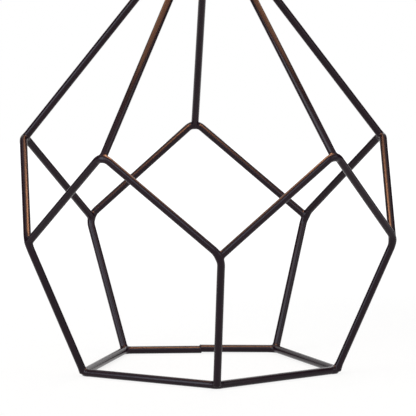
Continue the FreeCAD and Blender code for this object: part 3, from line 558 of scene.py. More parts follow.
class Finish(Enum):
    """Every finish on the lamp."""

    BRONZE = CoatFinish(
        colour=(0.0138, 0.0045, 0.0098), drift=(0.0100, 0.0038, 0.0080), rub=(0.0185, 0.0072, 0.0092),
        rub_amount=0.5, roughness=0.22, spread=0.08, grain=1500.0, relief=0.000012, specular=0.16,
    )
    HARP_BRONZE = CoatFinish(
        colour=(0.030, 0.019, 0.013), drift=(0.022, 0.014, 0.011), rub=(0.075, 0.043, 0.022),
        rub_amount=0.7, roughness=0.34, spread=0.2, grain=1800.0, relief=0.00004,
    )
    KNOB_BLACK = CoatFinish(
        colour=(0.012, 0.011, 0.0105), drift=(0.016, 0.015, 0.014), rub=(0.03, 0.028, 0.026),
        rub_amount=0.5, roughness=0.22, spread=0.14, grain=2400.0, relief=0.00002,
    )
    BUSHING_BLACK = CoatFinish(
        colour=(0.013, 0.013, 0.013), drift=(0.02, 0.02, 0.02), rub=(0.03, 0.03, 0.03),
        rub_amount=0.3, roughness=0.55, spread=0.16, grain=2600.0, relief=0.00005, specular=0.4,
    )
    PHENOLIC = CoatFinish(
        colour=(0.014, 0.012, 0.011), drift=(0.024, 0.019, 0.016), rub=(0.03, 0.025, 0.02),
        rub_amount=0.2, roughness=0.42, spread=0.2, grain=1200.0, relief=0.00004,
    )
    LINER_CARD = CoatFinish(
        colour=(0.085, 0.055, 0.036), drift=(0.06, 0.038, 0.026), rub=(0.12, 0.085, 0.06),
        rub_amount=0.4, roughness=0.85, spread=0.15, grain=900.0, relief=0.0001, specular=0.2, patch=160.0,
    )
    BLACK_GLASS = CoatFinish(
        colour=(0.008, 0.008, 0.009), drift=(0.014, 0.014, 0.016), rub=(0.02, 0.02, 0.02),
        rub_amount=0.2, roughness=0.15, spread=0.1, grain=700.0, relief=0.00002,
    )
    ZINC = PlateFinish(
        colour=(0.60, 0.59, 0.56), tarnish=(0.46, 0.45, 0.44), roughness=0.32, spread=0.25,
        lines=2600.0, relief=0.00003,
    )
    SOCKET_BRASS = PlateFinish(
        colour=(0.36, 0.235, 0.105), tarnish=(0.22, 0.14, 0.068), roughness=0.3, spread=0.3,
        lines=2200.0, relief=0.00003, patch=85.0,
    )
    BRASS = PlateFinish(
        colour=(0.70, 0.51, 0.23), tarnish=(0.55, 0.37, 0.16), roughness=0.28, spread=0.2, lines=2400.0,
    )
    SHADE_WIRE = PlateFinish(
        colour=(0.55, 0.41, 0.22), tarnish=(0.42, 0.30, 0.16), roughness=0.34, spread=0.22, lines=1800.0,
    )
    ALUMINIUM = PlateFinish(
        colour=(0.78, 0.77, 0.75), tarnish=(0.62, 0.61, 0.60), roughness=0.3, spread=0.2, lines=3000.0,
    )
    TUNGSTEN = PlateFinish(
        colour=(0.45, 0.42, 0.38), tarnish=(0.32, 0.30, 0.28), roughness=0.4, spread=0.1,
        lines=4000.0, relief=0.00001,
    )
    LINEN = ClothFinish(
        warp=(0.66, 0.585, 0.475), slub_tone=(0.77, 0.70, 0.59),
        near_glow=(0.34, 0.205, 0.088), far_glow=(0.12, 0.066, 0.026),
    )
    LAP = ClothFinish(
        warp=(0.64, 0.56, 0.445), slub_tone=(0.745, 0.665, 0.55),
        near_glow=(0.27, 0.16, 0.066), far_glow=(0.10, 0.054, 0.021),
    )
    TAPE = ClothFinish(
        warp=(0.63, 0.545, 0.425), slub_tone=(0.71, 0.625, 0.505), near_glow=(0.14, 0.085, 0.036),
        far_glow=(0.08, 0.047, 0.019), pitch=0.0009, slub=900.0, relief=0.00018,
    )
    LINING = GlowFinish(
        colour=(0.62, 0.60, 0.56), drift=(0.58, 0.555, 0.51), near_glow=(0.62, 0.46, 0.26),
        far_glow=(0.36, 0.225, 0.10), middle=0.442, reach=0.17, roughness=0.5, strength=0.8, coat=0.0,
    )
    BULB = GlowFinish(
        colour=(0.50, 0.48, 0.44), drift=(0.46, 0.44, 0.40), near_glow=(1.0, 0.86, 0.62),
        far_glow=(0.78, 0.54, 0.28), middle=0.449, reach=0.055, roughness=0.35, strength=0.62, coat=0.4,
    )
    STEM_GLASS = ClearFinish(colour=(0.93, 0.95, 0.93), streak=(0.86, 0.9, 0.88), roughness=0.06)


NodeTable = dict[Finish, tuple[str, ...]]
Dressed = list[tuple[Piece, Finish]]


class Palette:
    """Builds each finish when it is first used, and lays it on pieces."""

    def __init__(self) -> None:
        """Starts with the shared effects and no material."""
        self.effects = Effects()
        self.made: dict[Finish, bpy.types.Material] = {}

    def lay(self, piece: Piece, finish: Finish) -> None:
        """Gives a piece its finish.

        Args:
            piece: the mesh object.
            finish: what it is finished in.
        """
        if finish not in self.made:
            surface = Surface(finish.name.lower())
            finish.value.dress(surface, self.effects)
            self.made[finish] = surface.material
        piece.data.materials.clear()
        piece.data.materials.append(self.made[finish])


# Meshes


class MeshSketch:
    """Collects vertices and faces, and makes one object of them."""

    def __init__(self) -> None:
        """Starts empty."""
        self.vertices: list[Vector] = []
        self.faces: list[tuple[int, ...]] = []

    def loft(self, rings: Sequence[Sequence[Vector]], closed: bool) -> None:
        """Joins rings of equal length by quads, and caps the ends of an open row.

        Args:
            rings: closed rings of points, one after the other.
            closed: True if the last ring joins the first.
        """
        base, count = len(self.vertices), len(rings[0])
        for ring in rings:
            self.vertices.extend(ring)
        spans = len(rings) if closed else len(rings) - 1
        for i in range(spans):
            here, there = base + i * count, base + (i + 1) % len(rings) * count
            for j in range(count):
                k = (j + 1) % count
                self.faces.append((here + j, here + k, there + k, there + j))
        if not closed:
            self.faces.append(tuple(range(base + count - 1, base - 1, -1)))
            last = base + (len(rings) - 1) * count
            self.faces.append(tuple(range(last, last + count)))

    def tube(
        self, path: Sequence[Vector], radii: Sequence[float], sides: int,
        normals: Optional[Sequence[Vector]] = None, closed: bool = False,
    ) -> None:
        """A round tube along a path.

        Args:
            path: its centre line.
            radii: its radius at each point.
            sides: points round it.
            normals: a direction across the path at each point, where they are known.
            closed: True if it joins up.
        """
        rings, across = [], None
        turns = [TURN * j / sides for j in range(sides)]
        for i, point in enumerate(path):
            before = path[i - 1] if closed or i > 0 else point
            after = path[(i + 1) % len(path)] if closed or i + 1 < len(path) else point
            along = (after - before).normalized()
            if normals is not None:
                across = normals[i]
            elif across is None:
                across = along.orthogonal()
            across = (across - along * across.dot(along)).normalized()
            other = along.cross(across)
            rings.append([
                point + (across * math.cos(turn) + other * math.sin(turn)) * radii[i] for turn in turns
            ])
        self.loft(rings, closed)

    def revolve(self, outline: Profile, segments: int, shift: Callable[[float, float], float]) -> None:
        """A closed outline turned right round the lamp's axis.

        Args:
            outline: (radius, height) points of the closed outline.
            segments: steps round the axis.
            shift: how far a point stands out, from its angle and height.
        """
        rings = []
        for i in range(segments):
            angle = TURN * i / segments
            ring = []
            for radius, height in outline:
                reach = radius + shift(angle, height)
                ring.append(Vector((reach * math.cos(angle), reach * math.sin(angle), height)))
            rings.append(ring)
        self.loft(rings, closed=True)

    def mesh(self, name: str) -> bpy.types.Mesh:
        """The collected faces as one mesh.

        Args:
            name: the mesh's name.

        Returns:
            The mesh.
        """
        mesh = bpy.data.meshes.new(name)
        mesh.from_pydata(self.vertices, [], self.faces)
        mesh.validate()
        return mesh

    def build(self, name: str, body: Body, slot: Slot) -> Piece:
        """Makes a smooth-shaded object and lets it ride on a body.

        Args:
            name: the piece's name.
            body: what it moves with.
            slot: the record's material slot that it belongs to; not used.

        Returns:
            The new object.
        """
        mesh = self.mesh(name)
        mesh.polygons.foreach_set("use_smooth", [True] * len(mesh.polygons))
        mesh.set_sharp_from_angle(angle=SHARP_EDGE)
        piece = bpy.data.objects.new(name, mesh)
        bpy.context.scene.collection.objects.link(piece)
        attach(piece, body.value)
        return piece


def polar(radius: float, degrees: float, height: float) -> Vector:
    """A point round the lamp's axis.

    Args:
        radius: its distance from the axis.
        degrees: its angle, from +X towards +Y.
        height: its height.

    Returns:
        The point.
    """
    angle = math.radians(degrees)
    return Vector((radius * math.cos(angle), radius * math.sin(angle), height))


@dataclass(frozen=True)
class Bend:
    """A bend that rounds the corner between two straight runs of a rod."""

    before: Vector
    corner: Vector
    after: Vector
    radius: float

    @property
    def back(self) -> Vector:
        """Direction from the corner to the point before it."""
        return (self.before - self.corner).normalized()

    @property
    def ahead(self) -> Vector:
        """Direction from the corner to the point after it."""
        return (self.after - self.corner).normalized()

    @property
    def inward(self) -> Vector:
        """Direction from the corner to the middle of the bend."""
        return (self.back + self.ahead).normalized()

    @property
    def half(self) -> float:
        """Half of the angle between the two runs."""
        return self.back.angle(self.ahead) / 2

    @property
    def run(self) -> float:
        """How far from the corner the bend starts and ends."""
        return self.radius / math.tan(self.half)

    @property
    def middle(self) -> Vector:
        """The middle of the bend."""
        return self.corner + self.inward * self.radius * (1 / math.sin(self.half) - 1)

    def arc(self, steps: int) -> list[Vector]:
        """Points along the bend.

        Args:
            steps: how many steps they make.

        Returns:
            The points.
        """
        centre = self.corner + self.inward * self.radius / math.sin(self.half)
        first = self.corner + self.back * self.radius / math.tan(self.half) - centre
        last = self.corner + self.ahead * self.radius / math.tan(self.half) - centre
        return [centre + first.slerp(last, i / steps) * self.radius for i in range(steps + 1)]


def rounded(stops: Sequence[Vector], radius: float, steps: int) -> list[Vector]:
    """An open path whose inner corners are rounded.

    Args:
        stops: its ends and corners.
        radius: radius of each bend.
        steps: steps along each bend.

    Returns:
        The points of the path.
    """
    path = [stops[0]]
    for before, corner, after in zip(stops, stops[1:], stops[2:]):
        path += Bend(before, corner, after, radius).arc(steps)
    return path + [stops[-1]]


def even_steps(path: Sequence[Vector], step: float) -> list[Vector]:
    """The same path in short even steps.

    Args:
        path: its points.
        step: about how long a step is.

    Returns:
        The new points.
    """
    points = []
    for first, last in zip(path, path[1:]):
        count = max(1, round((last - first).length / step))
        points += [first.lerp(last, i / count) for i in range(count)]
    return points + [path[-1]]


@dataclass(frozen=True)
class Weld:
    """A painted weld: rod ends that flow into each other in a small uneven swelling."""

    swell: float
    reach: float
    sink: float = 0.22 * MM
    voxel: float = 0.4 * MM
    sides: int = 20
    flow: float = 0.5
    rounds: int = 12
    lump: float = 0.45
    lump_fade: float = 1.6
    coarse_grain: float = 420.0
    fine_grain: float = 1100.0

    def limb(
        self, sketch: MeshSketch, path: Sequence[Vector], rod: float, joint: Vector, fat: float = 1.0
    ) -> None:
        """One rod's share of a weld, thickest at the joint and sunk into the rod where it ends.

        Args:
            sketch: takes the limb's mesh.
            path: the rod's centre line near the joint.
            rod: the rod's radius.
            joint: the middle of the joint.
            fat: how much fatter than usual this weld is.
        """
        points = even_steps(path, self.voxel * 2)
        radii = []
        for point in points:
            away = min((point - joint).length / self.reach, 1.0)
            radii.append(rod + self.swell * fat * (1 - away) ** 2 - self.sink * away ** 2)
        sketch.tube(points, radii, self.sides)

    def melt(self, joined: MeshSketch, limbs: MeshSketch, joints: Sequence[Vector]) -> None:
        """Runs the limbs of a weld together.

        Args:
            joined: takes the finished weld.
            limbs: its limbs.
            joints: the middles of its joints.
        """
        draft = bpy.data.objects.new("weld_draft", limbs.mesh("weld_draft"))
        bpy.context.scene.collection.objects.link(draft)
        remesh = draft.modifiers.new("melt", "REMESH")
        remesh.mode = "VOXEL"
        remesh.voxel_size = self.voxel
        smooth = draft.modifiers.new("flow", "SMOOTH")
        smooth.factor = self.flow
        smooth.iterations = self.rounds
        graph = bpy.context.evaluated_depsgraph_get()
        mesh = bpy.data.meshes.new_from_object(draft.evaluated_get(graph))
        base = len(joined.vertices)
        for vertex in mesh.vertices:
            away = min((vertex.co - joint).length for joint in joints) / self.reach
            coarse = noise.noise(vertex.co * self.coarse_grain)
            lump = coarse + 0.5 * noise.noise(vertex.co * self.fine_grain)
            depth = self.swell * self.lump * max(0.0, 1 - away * self.lump_fade)
            place = vertex.co + vertex.normal * lump * depth
            place.z = max(place.z, TABLE_GAP)
            joined.vertices.append(place)
        joined.faces += [tuple(base + i for i in face.vertices) for face in mesh.polygons]
        bpy.data.objects.remove(draft)
        bpy.data.meshes.remove(mesh)


# Sub-assemblies


def numbered(kind: str, count: int) -> tuple[str, ...]:
    """Names of a kind of CAD node that the lamp has several of."""
    return tuple(f"{kind}_{k}" for k in range(1, count + 1))


class Assembly:
    """A sub-assembly: CAD nodes that it dresses, and pieces that it adds to them."""

    dressed: ClassVar[NodeTable] = {}

    def make(self) -> Dressed:
        """The new pieces with their finishes, of which a plain sub-assembly has none."""
        return []

    def nodes(self) -> Dressed:
        """The CAD nodes with their finishes."""
        return [(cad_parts[name], finish) for finish, names in self.dressed.items() for name in names]

    def build(self, palette: Palette) -> list[Piece]:
        """Builds and dresses the sub-assembly.

        Args:
            palette: the finishes.

        Returns:
            Its CAD nodes and its new pieces.
        """
        pieces = self.nodes() + self.make()
        for piece, finish in pieces:
            palette.lay(piece, finish)
        return [piece for piece, _ in pieces]


@dataclass
class WireBase(Assembly):
    """Foot ring, bent wires, top rods and the welds between them."""

    dressed: ClassVar[NodeTable] = {
        Finish.BRONZE: (*numbered("frame_wire", SIDES), *numbered("top_rod", SIDES), "collar"),
    }

    wire: float = 2.6 * MM
    wire_sides: int = 32
    ring_radius: float = 89.5 * MM
    ring_bend: float = 5.0 * MM
    bend_steps: int = 8
    lower_radius: float = 129.0 * MM
    lower_height: float = 92.5 * MM
    lower_bend: float = 12.0 * MM
    upper_radius: float = 129.5 * MM
    upper_height: float = 156.5 * MM
    upper_bend: float = 7.5 * MM
    first_upper: float = 90.0
    first_lower: float = 54.0
    apex: float = 311.5 * MM
    collar: float = 9.0 * MM
    collar_span: tuple[float, float] = (290.5 * MM, 305.5 * MM)
    collar_skin_depth: float = 0.05 * MM
    collar_edge: float = 0.25 * MM
    collar_edge_power: int = 6
    collar_steps: int = 24
    collar_sides: int = 72
    butt_step: float = 0.75 * MM
    butt_bead: float = 0.55 * MM
    butt_wobble: float = 0.2 * MM
    butt_sway: float = 0.5 * MM
    butt_sink: float = 0.1 * MM
    butt_grain: float = 2.0
    butt_offset: float = 0.7
    butt_steps: int = 40
    butt_sides: int = 10
    weld: Weld = Weld(swell=0.32 * MM, reach=9.0 * MM)
    weld_steps: int = 16
    foot_fat: float = 1.2
    blob_fat: float = 2.4
    seat_sink: float = 3 * MM

    def make(self) -> Dressed:
        """The ring, the bead on its butt joint and the welds."""
        pieces = [self.foot_ring(), self.butt_weld(), *self.welds()]
        return [(piece, Finish.BRONZE) for piece in pieces]

    def corners(self, radius: float, first: float, height: float) -> list[Vector]:
        """The five corners at one height, anticlockwise from the first one's angle in degrees."""
        return [polar(radius, first + 360 / SIDES * k, height) for k in range(SIDES)]

    def ring_corners(self) -> list[Vector]:
        """The sharp corners of the ring."""
        return self.corners(self.ring_radius, self.first_lower, self.wire)

    def ring_ends(self) -> tuple[Vector, Vector]:
        """Where the ring's two cut ends meet at the back, one a little higher than the other.

        Returns:
            The lower end and the higher one.
        """
        corners = self.ring_corners()
        middle = (corners[0] + corners[1]) / 2
        return middle, middle + UP * self.butt_step

    def foot_ring(self) -> Piece:
        """The ring as bent from one rod, with its cut ends a little out of line.

        Returns:
            The ring.
        """
        corners = self.ring_corners()
        start, end = self.ring_ends()
        path = rounded([start, *corners[1:], corners[0], end], self.ring_bend, self.bend_steps)
        sketch = MeshSketch()
        sketch.tube(path, [self.wire] * len(path), self.wire_sides)
        ring = sketch.build("foot_ring", Body.LAMP, Slot.PAINT)
        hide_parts("base_ring")
        return ring

    def butt_weld(self) -> Piece:
        """Thin bead over the ring's butt joint.

        Returns:
            The bead.
        """
        low, high = self.ring_ends()
        centre, along, back = (low + high) / 2, Vector((1, 0, 0)), Vector((0, 1, 0))
        grain = self.butt_grain
        path, radii, normals = [], [], []
        for i in range(self.butt_steps):
            turn = TURN * i / self.butt_steps
            outward = back * math.cos(turn) + UP * math.sin(turn)
            wobble = noise.noise(Vector((math.cos(turn) * grain, math.sin(turn) * grain, self.butt_offset)))
            bead = self.butt_bead + self.butt_wobble * wobble
            place = centre + outward * (self.wire - self.butt_sink) + along * wobble * self.butt_sway
            place.z = max(place.z, bead + TABLE_GAP)
            path.append(place)
            radii.append(bead)
            normals.append(outward)
        sketch = MeshSketch()
        sketch.tube(path, radii, self.butt_sides, normals, closed=True)
        return sketch.build("ring_butt_weld", Body.LAMP, Slot.PAINT)

    def welds(self) -> list[Piece]:
        """Beads at the upper and lower corners, at the ring and at the collar.

        Returns:
            One piece for each kind of joint.
        """
        upper = self.corners(self.upper_radius, self.first_upper, self.upper_height)
        lower = self.corners(self.lower_radius, self.first_lower, self.lower_height)
        ring = self.ring_corners()
        names = ("upper_welds", "lower_welds", "foot_welds", "collar_welds")
        welds = {name: MeshSketch() for name in names}
        collar, seats = MeshSketch(), []
        for k in range(SIDES):
            before, after = (k - 1) % SIDES, (k + 1) % SIDES
            over = Bend(lower[k], upper[k], lower[after], self.upper_bend)
            down = Bend(upper[before], lower[k], ring[k], self.lower_bend)
            foot = Bend(ring[before], ring[k], ring[after], self.ring_bend)
            rod = (UP * self.apex - over.middle).normalized()
            wire = (upper[k] - down.middle).normalized()
            leg = (lower[k] - ring[k]).normalized()
            fat = self.blob_fat if k == SIDES - 1 else self.foot_fat
            self.joint(welds["upper_welds"], over, over.middle, rod)
            self.joint(welds["lower_welds"], down, down.middle, wire)
            self.joint(welds["foot_welds"], foot, ring[k], leg, fat)
            seat = UP * self.apex - rod * self.collar / math.hypot(rod.x, rod.y)
            run = [seat + rod * self.seat_sink, seat - rod * self.weld.reach]
            self.weld.limb(collar, run, self.wire, seat)
            seats.append(seat)
        self.collar_skin(collar)
        self.weld.melt(welds["collar_welds"], collar, seats)
        return [sketch.build(name, Body.LAMP, Slot.PAINT) for name, sketch in welds.items()]

    def joint(
        self, welds: MeshSketch, bend: Bend, middle: Vector, rod: Vector, fat: float = 1.0
    ) -> None:
        """The weld of a straight rod on a bent one.

        Args:
            welds: takes the finished weld.
            bend: the bent rod's bend.
            middle: the middle of the joint.
            rod: direction of the straight rod, away from the joint.
            fat: how much fatter than usual the weld is.
        """
        run = bend.run + self.weld.reach / 2
        stops = [bend.corner + bend.back * run, bend.corner, bend.corner + bend.ahead * run]
        limbs = MeshSketch()
        self.weld.limb(limbs, rounded(stops, bend.radius, self.weld_steps), self.wire, middle, fat)
        self.weld.limb(limbs, [middle, middle + rod * self.weld.reach], self.wire, middle, fat)
        self.weld.melt(welds, limbs, [middle])

    def collar_skin(self, sketch: MeshSketch) -> None:
        """Thin skin round the collar, with rounded edges, that the rods' welds flow into.

        Args:
            sketch: takes the skin's mesh.
        """
        low, high = self.collar_span
        steps = self.collar_steps
        path, radii = [], []
        for i in range(steps + 1):
            path.append(UP * (low + (high - low) * i / steps))
            edge = self.collar_edge * abs(2 * i / steps - 1) ** self.collar_edge_power
            radii.append(self.collar + self.collar_skin_depth - edge)
        sketch.tube(path, radii, self.collar_sides)


@dataclass
class PipeStack(Assembly):
    """Lamp pipe, its nut and washer, and the turned pieces stacked on the collar."""

    dressed: ClassVar[NodeTable] = {
        Finish.BRONZE: ("check_ring", "neck"),
        Finish.ZINC: ("lamp_pipe", "pipe_washer", "pipe_nut"),
        Finish.BUSHING_BLACK: ("cord_bushing",),
    }

    pipe: float = 5.0 * MM
    tail: tuple[float, float] = (281.6 * MM, 284.2 * MM)
    pitch: float = 0.94 * MM
    ridge: float = 0.3 * MM
    ridge_start: float = 0.15
    ridge_rise: float = 6.0
    ridge_sides: int = 8
    turn_steps: int = 36

    def make(self) -> Dressed:
        """The thread on the pipe's tail."""
        return [(self.thread(), Finish.ZINC)]

    def thread(self) -> Piece:
        """Rounded thread on the pipe below its nut, which runs out at both ends.

        Returns:
            The thread.
        """
        low, high = self.tail
        turns = (high - low) / self.pitch
        steps = int(turns * self.turn_steps)
        path, normals, radii = [], [], []
        for i in range(steps + 1):
            share = i / steps
            outward = polar(1.0, 360 * turns * share, 0.0)
            path.append(outward * self.pipe + UP * (low + (high - low) * share))
            normals.append(outward)
            radii.append(self.ridge * min(1.0, self.ridge_rise * min(share, 1 - share) + self.ridge_start))
        sketch = MeshSketch()
        sketch.tube(path, radii, self.ridge_sides, normals)
        return sketch.build("pipe_thread", Body.LAMP, Slot.ZINC)


@dataclass
class Harp(Assembly):
    """Saddle, sprung bow, stud, locking sleeves and the finial on top."""

    dressed: ClassVar[NodeTable] = {
        Finish.HARP_BRONZE: (
            "harp_saddle", "harp_bow", "harp_stud", "harp_sleeve_left", "harp_sleeve_right",
        ),
        Finish.BRONZE: ("finial",),
    }


@dataclass
class TurnKnobSocket(Assembly):
    """Cap with its set screw, shell, liner, body, contacts and the switch."""

    dressed: ClassVar[NodeTable] = {
        Finish.SOCKET_BRASS: ("socket_cap", "socket_shell"),
        Finish.LINER_CARD: ("socket_liner",),
        Finish.PHENOLIC: ("socket_body",),
        Finish.BRASS: ("screw_shell", "center_contact"),
        Finish.ZINC: ("switch_shaft",),
        Finish.KNOB_BLACK: ("switch_knob",),
    }

    hub_radius: float = 8.0 * MM
    screw_height: float = 337.7 * MM
    screw_angle: float = -62.0
    screw_radius: float = 1.5 * MM
    screw_head: float = 1.3 * MM
    screw_edge: float = 0.15 * MM
    screw_crown: float = 0.92
    slot_depth: float = 0.6 * MM
    slot_width: float = 0.5 * MM
    step_lap: float = 0.1 * MM
    screw_steps: int = 24
    half_steps: int = 14

    def make(self) -> Dressed:
        """The set screw in the cap."""
        return [(self.set_screw(), Finish.ZINC)]

    def set_screw(self) -> Piece:
        """Slotted screw that locks the cap's hub to the pipe.

        Returns:
            The screw.
        """
        slot = math.asin(self.slot_width / 2 / self.screw_radius)
        floor = self.screw_head - self.slot_depth
        crown = (floor - self.step_lap, self.screw_head - self.screw_edge, self.screw_head)
        whole = [TURN * i / self.screw_steps for i in range(self.screw_steps)]
        sketch = MeshSketch()
        self.screw_step(sketch, whole, (-self.slot_depth, floor, floor))
        for start in (slot, math.pi + slot):
            half = [start + (math.pi - 2 * slot) * i / self.half_steps for i in range(self.half_steps + 1)]
            self.screw_step(sketch, half, crown)
        return sketch.build("cap_set_screw", Body.LAMP, Slot.ZINC)

    def screw_step(
        self, sketch: MeshSketch, turns: Sequence[float], depths: tuple[float, float, float]
    ) -> None:
        """One straight-sided step of the screw, with its outer edge broken.

        Args:
            sketch: takes the step's mesh.
            turns: angles of the step's outline.
            depths: where it starts, where its edge is broken and where it ends, out from the hub.
        """
        outward = polar(1.0, self.screw_angle, 0.0)
        seat = outward * self.hub_radius + UP * self.screw_height
        across = UP.cross(outward)
        rings = []
        for depth, share in zip(depths, (1.0, 1.0, self.screw_crown)):
            radius = self.screw_radius * share
            rings.append([
                seat + (across * math.cos(turn) + UP * math.sin(turn)) * radius + outward * depth
                for turn in turns
            ])
        sketch.loft(rings, closed=False)


@dataclass
class Bulb(Assembly):
    """Frosted bulb on its screw cap."""

    dressed: ClassVar[NodeTable] = {
        Finish.BULB: ("bulb_glass",),
        Finish.STEM_GLASS: ("bulb_stem",),
        Finish.TUNGSTEN: ("bulb_filament",),
        Finish.ALUMINIUM: ("bulb_cap", "bulb_contact"),
        Finish.BLACK_GLASS: ("bulb_insulator",),
    }


@dataclass
class DrumShade(Assembly):
    """Tapered linen shade on two hoops and a three-armed spider."""

    dressed: ClassVar[NodeTable] = {
        Finish.SHADE_WIRE: (
            "shade_bottom_ring", "shade_top_ring", "spider_hub", *numbered("spider_arm", ARMS),
        ),
    }

    top: float = 528.2 * MM
    bottom: float = 299.2 * MM
    top_radius: float = 140.0 * MM
    bottom_radius: float = 165.0 * MM
    linen: float = 0.55 * MM
    wall: float = 1.0 * MM
    layer_gap: float = 0.03 * MM
    stray: float = 0.3 * MM
    stray_grain: tuple[float, float] = (1.6, 1.4)
    hoop_wire: float = 1.6 * MM
    top_hoop: tuple[float, float] = (137.47 * MM, 526.5 * MM)
    bottom_hoop: tuple[float, float] = (162.10 * MM, 300.9 * MM)
    hub_radius: float = 13.0 * MM
    hub_middle: float = 513.5 * MM
    arm_reach: float = 19.0 * MM
    first_arm: float = 90.0
    arm_weld: Weld = Weld(swell=0.3 * MM, reach=5.0 * MM, sink=0.15 * MM, voxel=0.3 * MM, rounds=8)
    hub_fat: float = 1.6
    hub_sink: float = 1.0 * MM
    hoop_turn: float = 0.5
    hoop_steps: int = 5
    tape_width: float = 11.0 * MM
    tape: float = 0.45 * MM
    tape_gap: float = 0.08 * MM
    tape_slack: float = 0.1 * MM
    tape_wave: float = 0.06 * MM
    tape_grain: tuple[float, float] = (14.0, 90.0)
    tape_shoulder: float = 0.6
    tape_lap: float = 0.3 * MM
    tape_lap_share: float = 0.6
    roll_start: float = 80.0
    roll_step: float = 15.0
    roll_steps: int = 13
    seam_width: float = 15.0 * MM
    seam_angle: float = 90.0
    seam_thickness: float = 0.5 * MM
    seam_gap: float = 0.02 * MM
    seam_margin: float = 0.6 * MM
    seam_edge: float = 0.25
    seam_rise: float = 4.0
    segments: int = 240
    rows: int = 24
    strips: int = 8

    def make(self) -> Dressed:
        """The cloth, the lining, the tapes, the seam and the spider's welds.

        Returns:
            The new pieces with their finishes.
        """
        cloth = self.wall_skin("shade_cloth", 0.0, self.linen)
        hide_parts("shade_panel")
        lining = self.wall_skin("shade_lining", self.linen + self.layer_gap, self.wall)
        top_tape = self.edge_tape("shade_top_tape", self.top, self.top_hoop, 1)
        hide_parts("shade_top_trim")
        bottom_tape = self.edge_tape("shade_bottom_tape", self.bottom, self.bottom_hoop, -1)
        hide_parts("shade_bottom_trim")
        seam = self.seam()
        welds = self.spider_welds()
        return [
            (cloth, Finish.LINEN), (lining, Finish.LINING), (top_tape, Finish.TAPE),
            (bottom_tape, Finish.TAPE), (seam, Finish.LAP), (welds, Finish.SHADE_WIRE),
        ]

    def flat_cut(self) -> tuple[float, float, float]:
        """Works out the flat piece of cloth that rolls up into the wall.

        Returns:
            Its width, its length and its area.
        """
        slant = math.hypot(self.top - self.bottom, self.bottom_radius - self.top_radius)
        outer = slant * self.bottom_radius / (self.bottom_radius - self.top_radius)
        half = math.pi * self.bottom_radius / outer
        width = 2 * outer * math.sin(half)
        length = outer - (outer - slant) * math.cos(half)
        return width, length, math.pi * (self.bottom_radius + self.top_radius) * slant

    def share(self, height: float) -> float:
        """How far up the wall a height is, from 0 to 1."""
        return (height - self.bottom) / (self.top - self.bottom)

    def radius(self, height: float) -> float:
        """Outside of the wall at a height."""
        return self.bottom_radius + (self.top_radius - self.bottom_radius) * self.share(height)

    def slack(self, angle: float, height: float) -> float:
        """How far the hand-rolled wall strays from a true cone, most between the hoops.

        Args:
            angle: where round the shade, in radians.
            height: where up the shade.

        Returns:
            The offset, outwards.
        """
        share = self.share(height)
        free = math.sin(math.pi * min(max(share, 0.0), 1.0))
        return self.stray * free * self.uneven(angle, share, self.stray_grain)

    @staticmethod
    def uneven(angle: float, up: float, grain: tuple[float, float]) -> float:
        """Noise that goes round the shade and up it.

        Args:
            angle: where round the shade, in radians.
            up: where up the shade.
            grain: how fine the noise is round the shade and up it.

        Returns:
            The noise, about -1 to 1.
        """
        around, rise = grain
        return noise.noise(Vector((math.cos(angle) * around, math.sin(angle) * around, up * rise)))

    def wall_skin(self, name: str, outer: float, inner: float) -> Piece:
        """One layer of the wall.

        Args:
            name: the piece's name.
            outer: depth of its outside under the wall's outside.
            inner: depth of its inside.

        Returns:
            The layer.
        """
        heights = [self.bottom + (self.top - self.bottom) * i / self.rows for i in range(self.rows + 1)]
        outline = [(self.radius(h) - inner, h) for h in heights]
        outline += [(self.radius(h) - outer, h) for h in reversed(heights)]
        sketch = MeshSketch()
        sketch.revolve(outline, self.segments, self.slack)
        return sketch.build(name, Body.SHADE, Slot.LINEN)

    def edge_tape(self, name: str, edge: float, hoop: tuple[float, float], outward: int) -> Piece:
        """Tape folded over an edge and rolled round its hoop.

        Args:
            name: the piece's name.
            edge: height of the wall's edge.
            hoop: radius and height of the hoop's centre line.
            outward: 1 at the top edge, -1 at the bottom edge.

        Returns:
            The tape.
        """
        half = self.tape / 2
        gap = half + self.tape_gap
        line: Profile = []
        for i in range(self.strips + 1):
            height = edge - outward * self.tape_width * (1 - i / self.strips)
            line.append((self.radius(height) + gap, height))
        over = edge + outward * gap
        line.append((self.radius(edge) + gap * self.tape_shoulder, over - outward * self.tape_slack))
        line.append((self.radius(edge) - gap, over))
        roll = self.hoop_wire + gap + self.tape_slack
        for i in range(self.roll_steps):
            turn = math.radians(self.roll_start + self.roll_step * i)
            line.append((hoop[0] + roll * math.cos(turn), hoop[1] + outward * roll * math.sin(turn)))
        sketch = MeshSketch()
        sketch.revolve(self.thicken(line, half), self.segments, self.tape_offset)
        return sketch.build(name, Body.SHADE, Slot.TAPE)

    @staticmethod
    def thicken(line: Profile, half: float) -> Profile:
        """A closed outline round an open line.

        Args:
            line: the middle of the tape.
            half: half of its thickness.

        Returns:
            The outline.
        """
        sides: tuple[Profile, Profile] = ([], [])
        for i, (across, up) in enumerate(line):
            before, after = line[max(i - 1, 0)], line[min(i + 1, len(line) - 1)]
            run = math.hypot(after[0] - before[0], after[1] - before[1])
            normal = (-(after[1] - before[1]) / run * half, (after[0] - before[0]) / run * half)
            sides[0].append((across + normal[0], up + normal[1]))
            sides[1].append((across - normal[0], up - normal[1]))
        return sides[0] + sides[1][::-1]

    def tape_offset(self, angle: float, height: float) -> float:
        """How far the glued tape stands out: faintly uneven, and doubled where its ends overlap at the seam.

        Args:
            angle: where round the shade, in radians.
            height: where up the shade.

        Returns:
            The offset, outwards.
        """
        uneven = self.uneven(angle, height, self.tape_grain)
        across = abs(angle - math.radians(self.seam_angle)) * self.bottom_radius
        lap = self.tape_lap if across < self.seam_width * self.tape_lap_share else 0.0
        return self.tape_wave * uneven + lap

